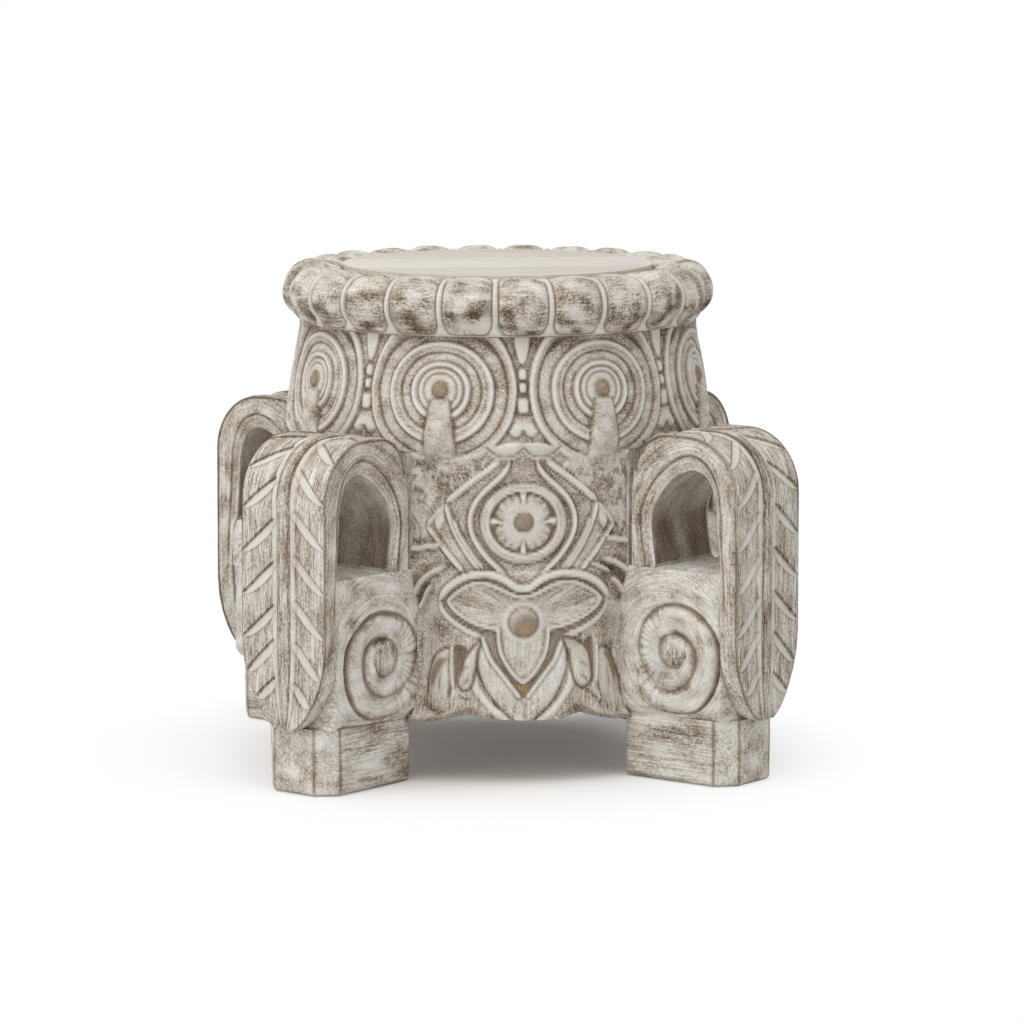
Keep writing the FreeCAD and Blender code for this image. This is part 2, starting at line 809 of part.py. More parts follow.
screws = []
battens = {}
for side, sign in (("left", "-"), ("right", "")):
    batten = doc.addObject("Part::Box", f"seat_batten_{side}_bar")
    bind(batten, Length="batten_width", Width="batten_length", Height="batten_thickness")
    at = (
        f"{sign}batten_spread - batten_width / 2",
        "-batten_length / 2",
        "seat_height - seat_thickness - batten_thickness",
    )
    battens[side] = place(batten, SEAT_TURN, at)
    for spot, shift in (("front", "-screw_spread"), ("middle", "0"), ("rear", "screw_spread")):
        name = f"seat_screw_{side}_{spot}"
        low = "seat_height - seat_thickness - batten_thickness"
        at = (f"{sign}batten_spread", shift, low)
        shank = rod(f"{name}_shank", "screw_radius", "screw_length", SEAT_TURN, at)
        head = doc.addObject("Part::Cone", f"{name}_head")
        bind(head, Radius1="screw_head", Radius2="screw_radius", Height="screw_head - screw_radius")
        place(head, SEAT_TURN, at)
        screw = doc.addObject("Part::Fuse", name)
        screw.Base = shank
        screw.Tool = head
        screws.append(screw)
seat_screws = keep("seat_screws", group("seat_screws", screws))
for side, batten in battens.items():
    keep(f"seat_batten_{side}", cut(f"seat_batten_{side}", batten, seat_screws))

boards = {
    "front": [(end, f"-{half}", "seat_radius", "left"), (f"-{end}", f"-{half}")],
    "middle": [
        (end, f"-{half}"),
        (end, half, "seat_radius", "left"),
        (f"-{end}", half),
        (f"-{end}", f"-{half}", "seat_radius", "left"),
    ],
    "rear": [(f"-{end}", half, "seat_radius", "left"), (end, half)],
}
for board, steps in boards.items():
    body = doc.addObject("PartDesign::Body", f"seat_board_{board}_body")
    plan = outline(body, f"seat_board_{board}_plan", "XY_Plane", steps)
    plan.AttachmentOffset = FreeCAD.Placement(
        FreeCAD.Vector(0, 0, number("seat_height - seat_thickness")), FreeCAD.Rotation()
    )
    plan.setExpression("AttachmentOffset.Base.z", formula("seat_height - seat_thickness"))
    pad(body, f"seat_board_{board}_slab", plan, "seat_thickness")
    place(body, SEAT_TURN)
    keep(f"seat_board_{board}", cut(f"seat_board_{board}", body, seat_splines, seat_screws))

doc.recompute()

# Every object is sound, and every cut took something away, before anything is written
for thing in doc.Objects:
    if "Invalid" in thing.State or "Error" in thing.State:
        raise RuntimeError(f"{thing.Name} did not compute: {thing.State}")
    if thing.TypeId == "Part::Cut" and thing.Shape.Volume > thing.Base.Shape.Volume - 1:
        raise RuntimeError(f"{thing.Name} took nothing away")
    if thing.TypeId in ("PartDesign::Pocket", "PartDesign::Groove"):
        if thing.Shape.Volume > thing.BaseFeature.Shape.Volume - 1:
            raise RuntimeError(f"{thing.Name} took nothing away")
for part in parts:
    if part.Shape.isNull() or not part.Shape.isValid() or not part.Shape.Solids:
        raise RuntimeError(f"{part.Label} has no sound shape")

os.makedirs("parts", exist_ok=True)
for part in parts:
    part.Shape.exportStep(f"parts/{part.Label}.step")
    solids = len(part.Shape.Solids)
    print(f"{part.Label}: {solids} solids, {part.Shape.Volume / 1000:.1f} cm3")
print(f"{len(parts)} parts written")
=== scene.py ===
import bpy
import math
import numpy as np
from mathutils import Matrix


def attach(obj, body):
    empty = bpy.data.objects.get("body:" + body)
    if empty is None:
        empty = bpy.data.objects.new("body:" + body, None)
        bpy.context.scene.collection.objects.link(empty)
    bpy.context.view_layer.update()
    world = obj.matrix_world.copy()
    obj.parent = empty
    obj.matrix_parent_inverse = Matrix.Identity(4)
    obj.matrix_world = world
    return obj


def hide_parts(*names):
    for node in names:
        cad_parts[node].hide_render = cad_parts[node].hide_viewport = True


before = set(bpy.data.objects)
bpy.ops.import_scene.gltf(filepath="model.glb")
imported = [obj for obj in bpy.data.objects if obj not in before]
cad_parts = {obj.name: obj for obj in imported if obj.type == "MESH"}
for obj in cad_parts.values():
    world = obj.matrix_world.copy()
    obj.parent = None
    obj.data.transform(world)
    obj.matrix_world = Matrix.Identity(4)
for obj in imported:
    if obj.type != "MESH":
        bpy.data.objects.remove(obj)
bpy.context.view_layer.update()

# Feet: four blocks of solid wood under the legs, grain level, the two outer corners of each pared off.
# They are sawn square, eased along the arrises by hand, and held by two dowels from the scroll block above.
leg_turns = {"front_right": 0, "rear_right": 90, "rear_left": 180, "front_left": 270}
foot_length, foot_width, foot_height = 109.0, 76.0, 56.2
foot_outer, foot_corner, foot_round = 275.0, 16.0, 4.5
grain_shift = np.array([0.73, 0.31, 1.9])


def new_piece(add, **sizes):
    bpy.ops.object.select_all(action="DESELECT")
    add(**sizes)
    bpy.ops.object.transform_apply(location=True, rotation=True, scale=True)
    return bpy.context.object


def read_layer(layer, field):
    flat = np.empty(len(layer) * 3, dtype=np.float32)
    layer.foreach_get(field, flat)
    return flat.reshape(-1, 3).astype(float)


def places_of(piece):
    return read_layer(piece.data.vertices, "co") * 1000


def move_to(piece, places):
    piece.data.vertices.foreach_set("co", (places / 1000).astype(np.float32).ravel())
    piece.data.update()


def mark(piece, name, amounts):
    kind, field = ("FLOAT_VECTOR", "vector") if amounts.ndim == 2 else ("FLOAT", "value")
    layer = piece.data.attributes.get(name) or piece.data.attributes.new(name, kind, "POINT")
    layer.data.foreach_set(field, amounts.astype(np.float32).ravel())


# Each point of a piece gets notes for its coat: grain, painted shade together with brown lines, wear, thin
# paint with painted shade in places, honey stain and brush strokes.
def note_finish(piece, grain, shade_and_brown_lines=0.0, worn=0.0, thin=0.0, honey=0.0, strokes=1.0):
    mark(piece, "grain", grain / 1000)
    notes = {"shade_and_brown_lines": shade_and_brown_lines, "worn": worn, "thin": thin, "honey": honey, "strokes": strokes}
    for name, amounts in notes.items():
        mark(piece, name, np.zeros(len(grain)) + amounts)


def ease(amount):
    amount = np.clip(amount, 0, 1)
    return amount * amount * (3 - 2 * amount)


def unevenness(places, seed, reach):
    draw = np.random.default_rng(seed)
    total = np.zeros(len(places))
    for wave in range(10):
        heading = draw.normal(size=3)
        heading *= 2 * math.pi / (reach * draw.uniform(0.6, 1.7) * np.linalg.norm(heading))
        total += np.sin(places @ heading + draw.uniform(0, 2 * math.pi))
    return total / 3.2


def hump(share):
    return np.exp(-(share**2))


def wire(tree, kind, sockets, **settings):
    step = tree.nodes.new("ShaderNode" + kind)
    for name, setting in settings.items():
        setattr(step, name, setting)
    for socket, source in sockets.items():
        if isinstance(source, bpy.types.NodeSocket):
            tree.links.new(source, step.inputs[socket])
        else:
            step.inputs[socket].default_value = source
    return step.outputs


def texture(tree, place, along, across, detail, rough):
    spot = wire(tree, "Mapping", {"Vector": place, "Scale": (along, across, across)})["Vector"]
    sockets = {"Vector": spot, "Scale": 1.0, "Detail": detail, "Roughness": rough}
    return wire(tree, "TexNoise", sockets)["Fac"]


def weigh(tree, total, *shares):
    for part, weight in shares:
        total = wire(tree, "Math", {0: part, 1: weight, 2: total}, operation="MULTIPLY_ADD")[0]
    return total


def pair(tree, operation, first, second):
    return wire(tree, "Math", {0: first, 1: second}, operation=operation)[0]


def between(tree, amount, low, high):
    sockets = {"Value": amount, "From Min": low, "From Max": high}
    return wire(tree, "MapRange", sockets, interpolation_type="SMOOTHSTEP")["Result"]


def layer_over(tree, share, under, over):
    under, over = ((*colour, 1.0) if isinstance(colour, tuple) else colour for colour in (under, over))
    return wire(tree, "Mix", {"Factor": share, "A": under, "B": over}, data_type="RGBA")["Result"]


def new_finish(name, roughness):
    finish = bpy.data.materials.new(name)
    finish.use_nodes = True
    skin = finish.node_tree.nodes["Principled BSDF"].inputs
    skin["Roughness"].default_value = roughness
    return finish, finish.node_tree, skin


def coat_with(tree, skin, colour, raised, strength, depth):
    tree.links.new(colour, skin["Base Color"])
    bump = wire(tree, "Bump", {"Height": raised, "Strength": strength, "Distance": depth})
    tree.links.new(bump["Normal"], skin["Normal"])


def shade(red, green, blue):
    parts = [part / 255 for part in (red, green, blue)]
    return tuple(part / 12.92 if part < 0.04045 else ((part + 0.055) / 1.055) ** 2.4 for part in parts)


def limewash(name, specks=1.0, clouds=1.0, tone=0.0):
    finish, tree, skin = new_finish(name, 0.86)
    skin["Specular IOR Level"].default_value = 0.25
    along_grain = wire(tree, "Attribute", {}, attribute_name="grain")["Vector"]
    shade_and_brown_lines, worn, thin, honey, strokes = (
        wire(tree, "Attribute", {}, attribute_name=note)["Fac"]
        for note in ("shade_and_brown_lines", "worn", "thin", "honey", "strokes")
    )
    pores = texture(tree, along_grain, 60, 620, 3, 0.6)
    brush = texture(tree, along_grain, 16, 330, 3, 0.55)
    dots = texture(tree, along_grain, 560, 640, 2, 0.8)
    patches = texture(tree, along_grain, 40, 58, 5, 0.62)
    lines = pair(tree, "MULTIPLY", weigh(tree, -0.85, (pores, 1.05), (brush, 0.65)), strokes)
    dot_share, patch_share = 1.15 * specks, 0.8 * clouds
    spots = weigh(tree, -0.5 * (dot_share + patch_share), (dots, dot_share), (patches, patch_share))
    calm = weigh(tree, 1.0, (worn, -0.6), (shade_and_brown_lines, -0.4))
    spots = pair(tree, "MULTIPLY", spots, weigh(tree, 0.8, (thin, 0.5)))
    mottled = pair(tree, "MULTIPLY", weigh(tree, 0.0, (lines, 1.0), (spots, 1.0)), calm)
    # Painted shade and brown lines darken the coat strongly; thin paint, and painted shade laid in with it,
    # darken it a little.
    tones = weigh(tree, 0.74 + tone, (mottled, 1.0), (thin, -0.2), (shade_and_brown_lines, -0.66), (worn, 0.14))
    ramp = tree.nodes.new("ShaderNodeValToRGB")
    stops = (
        (0.0, shade(78, 66, 54)), (0.28, shade(120, 107, 93)), (0.5, shade(162, 152, 139)),
        (0.7, shade(196, 188, 177)), (0.88, shade(214, 210, 203)), (1.0, shade(229, 227, 222)),
    )
    while len(ramp.color_ramp.elements) < len(stops):
        ramp.color_ramp.elements.new(0.5)
    for stop, (place, colour) in zip(ramp.color_ramp.elements, stops):
        stop.position = place
        stop.color = (*colour, 1.0)
    tree.links.new(tones, ramp.inputs["Fac"])
    stain = layer_over(tree, between(tree, honey, 0.65, 1.0), shade(118, 100, 80), shade(178, 145, 107))
    flecks = weigh(tree, 0.0, (between(tree, dots, 0.56, 0.38), 0.7))
    stain = layer_over(tree, flecks, stain, shade(88, 73, 58))
    glow = between(tree, weigh(tree, -0.55, (honey, 1.0), (dots, 0.7), (patches, 0.5)), 0.05, 1.0)
    coat = layer_over(tree, weigh(tree, 0.0, (glow, 0.82)), ramp.outputs["Color"], stain)
    coat_with(tree, skin, coat, mottled, 0.45, 0.0008)
    return finish


def turned_copy(pattern, name, degrees, number=0):
    piece = pattern.copy()
    piece.data = pattern.data.copy()
    piece.name = piece.data.name = name
    bpy.context.collection.objects.link(piece)
    turn = math.radians(degrees)
    places = places_of(piece)
    x, y = places[:, 0].copy(), places[:, 1].copy()
    places[:, 0] = x * math.cos(turn) - y * math.sin(turn)
    places[:, 1] = x * math.sin(turn) + y * math.cos(turn)
    move_to(piece, places)
    if number:
        grain = read_layer(piece.data.attributes["grain"].data, "vector")
        mark(piece, "grain", grain + grain_shift * number)
    return piece


def fit(piece, node, finish, edge=55):
    piece.data.materials.clear()
    piece.data.materials.append(finish)
    bpy.ops.object.select_all(action="DESELECT")
    piece.select_set(True)
    bpy.context.view_layer.objects.active = piece
    bpy.ops.object.shade_smooth_by_angle(angle=math.radians(edge))
    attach(piece, "root")
    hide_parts(node)


def fit_round(pattern, turns, name, node, finish, edge=55):
    for number, (place, turn) in enumerate(turns.items()):
        fit(turned_copy(pattern, f"{name}_{place}", turn, number), f"{node}_{place}", finish, edge)
    bpy.data.objects.remove(pattern)


def pick_edges(piece, chosen):
    bpy.ops.object.mode_set(mode="EDIT")
    bpy.ops.mesh.select_mode(type="EDGE")
    bpy.ops.mesh.select_all(action="DESELECT")
    bpy.ops.object.mode_set(mode="OBJECT")
    corners = places_of(piece)
    for edge in piece.data.edges:
        edge.select = bool(chosen(*corners[list(edge.vertices)]))
    bpy.ops.object.mode_set(mode="EDIT")


def ease_edges(piece, width, segments, degrees):
    soften = piece.modifiers.new("eased_edges", "BEVEL")
    soften.width = width / 1000
    soften.segments = segments
    soften.limit_method = "ANGLE"
    soften.angle_limit = math.radians(degrees)
    bpy.ops.object.modifier_apply(modifier="eased_edges")


foot = new_piece(
    bpy.ops.mesh.primitive_cube_add,
    size=0.001,
    location=((foot_outer - foot_length / 2) / 1000, 0, (foot_height + foot_round) / 2000),
    scale=(foot_length, foot_width, foot_height + foot_round),
)
pick_edges(foot, lambda a, b: min(a[0], b[0]) > foot_outer - 1 and abs(a[2] - b[2]) > 1)
bpy.ops.mesh.bevel(offset=foot_corner / 1000, segments=1, affect="EDGES")
bpy.ops.object.mode_set(mode="OBJECT")
ease_edges(foot, foot_round, 4, 50)
foot.data.remesh_voxel_size = 0.0016
bpy.ops.object.voxel_remesh()
spots = places_of(foot)
spots[:, 2] = np.clip(spots[:, 2], 0, foot_height)
move_to(foot, spots)
spots = places_of(foot)
outward = read_layer(foot.data.vertex_normals, "vector")
lift = np.where((spots[:, 2:] > 2.5) & (spots[:, 2:] < foot_height - 0.1), 1.0, 0.0) * outward
move_to(foot, spots + lift * (0.45 * unevenness(spots, 3, 38) - 0.35)[:, None])
arrises = ((foot_outer - foot_corner, foot_width / 2), (foot_outer, foot_width / 2 - foot_corner))
edge_gaps = [np.hypot(spots[:, 0] - x, np.abs(spots[:, 1]) - y) for x, y in arrises]
edge_gap = np.min(edge_gaps + [spots[:, 2]], axis=0)
foot_patches = unevenness(spots * (0.6, 1, 1), 8, 26)
# The arrises get brown lines and stain; the bottom edge gets a painted contact shadow, and the top, where
# the scroll block sits on it, painted shade.
note_finish(
    foot,
    spots * (0.6, 1, 1),
    shade_and_brown_lines=0.36 * hump(edge_gap / 1.6) + 0.12 * ease((spots[:, 2] - 50) / 6),
    worn=0.4 * hump((edge_gap - 5) / 3) + 0.3 * ease(-foot_patches - 0.4),
    thin=0.35 + 0.5 * foot_patches,
    honey=0.5 * hump(edge_gap / 1.8),
)
foot_finish = limewash("limewashed_foot", specks=1.1, clouds=1.3)
fit_round(foot, leg_turns, "foot_block", "foot", foot_finish, 40)

# Scroll blocks: the solid block under each arch, with a volute carved on both sides and a rounded shoulder.
# Carved with gouges from a sawn block; it stands on the foot and is dowelled to the strap and the panels.
block_inner, block_outer, block_bottom, block_top = 150.0, 268.6, 56.3, 181.8
near_scroll = [
    (167.8, 72), (182.2, 64), (198.8, 60), (215.1, 58.5), (229.4, 62), (242.8, 71), (251.2, 84),
    (255.4, 98), (255.9, 112), (252.9, 123), (247, 133), (238.6, 141.4), (227.7, 147.4), (215.1, 149.2),
    (202.2, 147.8), (187.7, 143.2), (175.5, 135), (168.3, 125), (166.1, 115), (167.8, 104), (173.3, 93),
    (183.3, 84), (195.5, 79), (207.7, 77.5), (217.6, 79.5), (226, 84.5), (231.9, 92), (234.9, 102),
    (234.9, 112), (231.5, 120.5), (225.2, 125.5), (217.6, 127.5), (210, 126.5),
]
far_scroll = [
    (186, 73), (202, 62.5), (220, 59.5), (245, 65), (261, 84), (266, 105), (264, 124), (255, 140),
    (240, 149.5), (222, 152.5), (204, 147), (191, 134), (185.5, 116), (190, 100), (203, 84.5),
    (218, 78.5), (234, 85), (241.5, 97), (243.5, 108), (240.5, 118), (233, 125), (224, 128.5),
]
near_eye, far_eye = (210.5, 111.0, 16.0), (223.0, 113.5, 14.5)
block_half, curl_reach, curl_up = 45.0, 216.0, 111.0


def drawn_line(knots, closed=False, steps=8):
    knots = np.array(knots, dtype=float)
    if closed:
        ring = np.vstack([knots[-1:], knots, knots[:2]])
    else:
        ring = np.vstack([2 * knots[0] - knots[1], knots, 2 * knots[-1] - knots[-2]])
    t = np.linspace(0, 1, steps, endpoint=False)[:, None]
    runs = []
    for a, b, c, d in zip(ring[:-3], ring[1:-2], ring[2:-1], ring[3:]):
        bend = (2 * a - 5 * b + 4 * c - d) * t**2 + (3 * (b - c) + d - a) * t**3
        runs.append(0.5 * (2 * b + (c - a) * t + bend))
    runs.append(knots[:1] if closed else knots[-1:])
    return np.vstack(runs)


def gap_to(across, up, line, reach=16.0):
    gap = np.full(across.shape, 99.0)
    along = np.zeros(across.shape)
    low, high = line.min(axis=0) - reach, line.max(axis=0) + reach
    near = (across > low[0]) & (across < high[0]) & (up > low[1]) & (up < high[1])
    x, y = across[near], up[near]
    best, share = np.full(x.shape, 99.0), np.zeros(x.shape)
    runs = np.hypot(*np.diff(line, axis=0).T)
    ends = np.concatenate([[0], np.cumsum(runs)]) / runs.sum()
    for start, stop, first, last in zip(line[:-1], line[1:], ends[:-1], ends[1:]):
        way = stop - start
        t = np.clip(((x - start[0]) * way[0] + (y - start[1]) * way[1]) / max(way @ way, 1e-9), 0, 1)
        reached = np.hypot(x - start[0] - t * way[0], y - start[1] - t * way[1])
        closer = reached < best
        best = np.where(closer, reached, best)
        share = np.where(closer, first + t * (last - first), share)
    gap[near], along[near] = best, share
    return gap, along


def inside(across, up, line):
    crossed = np.zeros(across.shape, dtype=bool)
    for (x0, y0), (x1, y1) in zip(line, np.roll(line, -1, axis=0)):
        if y0 != y1:
            straddles = (up < y0) != (up < y1)
            crossed ^= straddles & (across < x0 + (up - y0) * (x1 - x0) / (y1 - y0))
    return crossed


def blurred(field, cells):
    for axis in (0, 1):
        for again in range(2):
            pad = [(cells + 1, cells) if side == axis else (0, 0) for side in (0, 1)]
            total = np.cumsum(np.pad(field, pad, mode="edge"), axis=axis)
            upper = np.take(total, range(2 * cells + 1, total.shape[axis]), axis=axis)
            lower = np.take(total, range(total.shape[axis] - 2 * cells - 1), axis=axis)
            field = (upper - lower) / (2 * cells + 1)
    return field


def mottle(shape, cells, seed):
    field = blurred(np.random.default_rng(seed).normal(size=shape), cells)
    return field / field.std()


def bead(gap, half, height):
    return height * np.sqrt(np.clip(1 - (gap / half) ** 2, 0, 1))


def drawing_board(left, right, low, high, cell=0.7):
    columns, rows = int((right - left) / cell) + 1, int((high - low) / cell) + 1
    return np.meshgrid(np.linspace(left, right, columns), np.linspace(low, high, rows))


def pressed(board, values, across, up):
    grid_across, grid_up = board
    rows, columns = values.shape
    left, right, low, high = grid_across[0, 0], grid_across[0, -1], grid_up[0, 0], grid_up[-1, 0]
    column = np.clip((across - left) / (right - left) * (columns - 1), 0, columns - 1.001)
    row = np.clip((up - low) / (high - low) * (rows - 1), 0, rows - 1.001)
    i, j = row.astype(int), column.astype(int)
    a, b = row - i, column - j
    upper = values[i, j] * (1 - b) + values[i, j + 1] * b
    lower = values[i + 1, j] * (1 - b) + values[i + 1, j + 1] * b
    return upper * (1 - a) + lower * a


def volute(board, knots, eye):
    reach, up = board
    line = drawn_line(knots, steps=6)
    gap, along = gap_to(reach, up, line, 60)
    first_turn = len(knots) - (15 if len(knots) > 30 else 9)
    within = inside(reach, up, line[: first_turn * 6])
    from_eye = np.hypot(reach - eye[0], up - eye[1])
    angle = np.degrees(np.arctan2(up - eye[1], reach - eye[0])) % 360
    wide = ease(0.5 + 0.6 * np.cos(np.radians(angle - 40)))
    bottom = -1.0 - 1.5 * wide
    band = bottom + (1.8 - bottom) * ease(gap / 8.5)
    shoulder = bottom * (1 - ease(gap / 4))
    plain = shoulder - 3.4 * ease((reach - 222) / 30) * ease((150 - up) / 30)
    height = np.where(within, band, np.where(up > 140, shoulder, plain))
    notch = 0.5 + 0.5 * np.cos(np.radians(angle * 38) + 2.2 * np.sin(np.radians(angle * 7)))
    notched = ease((angle - 85) / 25) * ease((262 - angle) / 20) * ease((from_eye - eye[2] - 6) / 9)
    height -= np.where(within, 1.15 * notch**3 * notched * ease(gap / 2.5), 0)
    ring = np.abs(from_eye - eye[2])
    around = ease((angle - 20) / 40) * ease((330 - angle) / 40)
    height -= 1.8 * hump(ring / 1.4) * around
    pupil = 0.1 + 0.7 * ease((eye[2] - from_eye) / 9)
    height = np.where(from_eye < eye[2] - 1, np.minimum(height, pupil), height)
    honey = 0.72 * hump(gap / (0.9 + 1.5 * wide)) * ease((along - 0.06) / 0.05)
    return height, from_eye, np.maximum(honey, 0.5 * hump(ring / 1.3) * around)


def open_mesh():
    bpy.ops.object.mode_set(mode="EDIT")
    bpy.ops.mesh.select_all(action="SELECT")


def close_mesh():
    bpy.ops.mesh.select_all(action="SELECT")
    bpy.ops.mesh.normals_make_consistent(inside=False)
    bpy.ops.object.mode_set(mode="OBJECT")


block = new_piece(bpy.ops.mesh.primitive_grid_add, x_subdivisions=128, y_subdivisions=136, size=2)
open_mesh()
bpy.ops.mesh.extrude_repeat(steps=8, offset=(0, 0, 0.25))
close_mesh()
rough = places_of(block) / 1000
rough[:, 2] -= 1
reach = block_inner + (rough[:, 0] + 1) / 2 * (block_outer - block_inner)
up = block_bottom + (rough[:, 1] + 1) / 2 * (block_top - block_bottom)
scroll_board = drawing_board(block_inner - 1, block_outer + 1, block_bottom - 1, block_top + 1)
half_width = np.full(len(reach), block_half)
shade_and_brown_lines, worn, honey, eye_share = np.zeros((4, len(reach)))
near_side = rough[:, 2] > 0
for knots, eye, facing in ((near_scroll, near_eye, near_side), (far_scroll, far_eye, ~near_side)):
    height, from_eye, gold = volute(scroll_board, knots, eye)
    height += 0.16 * mottle(height.shape, 3, 21)
    # dip: how far a point lies below its surroundings. Recesses of the carving are painted darker with it,
    # as shade; raised parts are paled.
    dip = blurred(height, 5) - height
    for total, values in (
        (half_width, height), (shade_and_brown_lines, np.clip(dip / 1.7, 0, 1)), (worn, np.clip(-dip / 0.8, 0, 1)),
        (honey, gold), (eye_share, 1.0 * (from_eye < eye[2] - 1)),
    ):
        total += np.where(facing, pressed(scroll_board, values, reach, up), 0)
over_ledge = ease((reach - 197) / 14) * ease((268 - reach) / 6 + 0.45)
half_width -= 11.5 * over_ledge * (1 - np.sqrt(np.clip(1 - np.clip((up - 156) / 26, 0, 1) ** 2, 0, 1)))
half_width -= 7 * ease((65 - up) / 10)
half_width = np.where(reach < 163, np.minimum(half_width, 44.8), half_width)
places = np.column_stack([reach, rough[:, 2] * half_width, up])
top_corner = over_ledge * ease((np.abs(rough[:, 2]) - 0.7) / 0.3)
places[:, 2] -= 2.2 * top_corner * (up > block_top - 0.5)
move_to(block, places)
turn = np.arctan2(up - curl_up, reach - curl_reach)
spread = np.hypot(up - curl_up, reach - curl_reach)
curl = np.column_stack([turn * 55, spread, places[:, 1] * 0.3])
straight = np.column_stack([up, reach, places[:, 1]])
note_finish(
    block,
    np.where((eye_share > 0.5)[:, None], straight, curl),
    shade_and_brown_lines=0.62 * shade_and_brown_lines,
    worn=np.clip(0.8 * worn + 0.25 * ease((up - 158) / 16), 0, 1),
    thin=0.5 * eye_share + 0.2 + 0.5 * unevenness(places, 5, 26),
    honey=honey,
    strokes=0.75 + 0.5 * eye_share,
)
block_finish = limewash("limewashed_scroll", specks=1.2, clouds=1.1, tone=0.03)
fit_round(block, leg_turns, "scroll", "scroll_block", block_finish)

# Leg straps: thick wooden straps that rise from the feet, arch over the openings and end against the drum.
# Bent from one sawn blank; a ribbed leaf with slanting cuts runs up its face, and bands follow its sides.
strap_half = 45.0
strap_face = [(288, 56.2), (288, 245)]
shoulder_middle, shoulder_radius, crown_up = (236, 245), 52, 297
back_middle, back_radius = (215, 263), 34
jamb_top, jamb_bottom = (178.5, 246), (178.5, 182)
heel_half, heel_face, heel_back, heel_bottom, heel_height = 44.9, 180.6, 150.2, 182.0, 98.7
opening = [
    (269.2, 56.2), (269.2, 150), (263.4, 222), (262.6, 238), (258.6, 252.6), (251.6, 262.6), (240, 267),
    (228, 264), (216, 256.5), (205, 245), (198, 231), (195.5, 218), (197.5, 200), (200.5, 182),
]
leaf_outline = [
    (56, 9.0), (59, 14.0), (64, 20.0), (72, 26.5), (82, 32.5), (95, 38.5), (110, 43.0), (128, 45.0),
]
left_cuts = (45, 77, 106, 142, 178, 214, 249, 283, 314)
right_cuts = (42, 76, 111, 148, 185, 222, 259, 294)
post_rings, shoulder_rings, crown_rings, heel_rings, jamb_rings = 176, 76, 20, 48, 40


def arc(centre, radius, start, stop, count):
    angles = np.radians(np.linspace(start, stop, count + 1))[1:]
    return np.column_stack([centre[0] + radius * np.cos(angles), centre[1] + radius * np.sin(angles)])


def run(start, stop, count):
    return np.linspace(start, stop, count + 1)[1:]


outer_path = np.vstack([
    [strap_face[0]],
    run(strap_face[0], strap_face[1], post_rings),
    arc(shoulder_middle, shoulder_radius, 0, 90, shoulder_rings),
    run((shoulder_middle[0], crown_up), (back_middle[0], crown_up), crown_rings),
    arc(back_middle, back_radius, 90, 180, heel_rings),
    run((back_middle[0] - back_radius, back_middle[1]), jamb_top, 8),
    run(jamb_top, jamb_bottom, jamb_rings),
])
hole = drawn_line(opening, steps=12)
hole_runs = (
    (2.35, 6, shoulder_rings), (6, 7, crown_rings), (7, 9.1, heel_rings), (9.1, 9.7, 8),
    (9.7, 13, jamb_rings),
)
hole_stops = [np.linspace(0, 2.35, post_rings + 1)] + [run(*stretch) for stretch in hole_runs]
hole_stops = np.concatenate(hole_stops) * 12
inner_path = np.column_stack([np.interp(hole_stops, range(len(hole)), hole[:, axis]) for axis in (0, 1)])
ring_count = len(outer_path)


def subdivide_edges(piece, chosen, cuts):
    pick_edges(piece, chosen)
    bpy.ops.mesh.subdivide(number_cuts=cuts)
    bpy.ops.object.mode_set(mode="OBJECT")


strap = new_piece(bpy.ops.mesh.primitive_plane_add, size=2)
subdivide_edges(strap, lambda a, b: min(a[0], b[0]) > 900, 88)
subdivide_edges(strap, lambda a, b: max(a[0], b[0]) < -900, 10)
for side in (-1, 1):
    subdivide_edges(strap, lambda a, b: min(a[1] * side, b[1] * side) > 990, 22)
open_mesh()
coarse = (ring_count - 1) // 8
bpy.ops.mesh.extrude_repeat(steps=coarse, offset=(0, 0, 8))
bpy.ops.object.mode_set(mode="OBJECT")
subdivide_edges(strap, lambda a, b: abs(a[2] - b[2]) > 4000, 7)
open_mesh()
close_mesh()
rough = places_of(strap) / 1000
ring = rough[:, 2] / (coarse * 8) * (ring_count - 1)
depth, side = (rough[:, 0] + 1) / 2, rough[:, 1]


def along_rings(path):
    return np.column_stack([np.interp(ring, range(ring_count), part) for part in path.T])


def read_off(place, table):
    return np.interp(place, *zip(*table))


outer_at, inner_at = along_rings(outer_path), along_rings(inner_path)
thickness = np.hypot(*(outer_at - inner_at).T)
spine = inner_at + depth[:, None] * (outer_at - inner_at)
travel = np.concatenate([[0], np.cumsum(np.hypot(*np.diff(outer_path, axis=0).T))])
along = np.interp(ring, range(ring_count), travel)
half_here = np.where(spine[:, 0] > 240, read_off(spine[:, 1], leaf_outline), strap_half)
across = side * half_here
heading = np.gradient(outer_path, axis=0)
heading /= np.hypot(*heading.T)[:, None]
lean = along_rings(np.column_stack([heading[:, 1], -heading[:, 0]]))

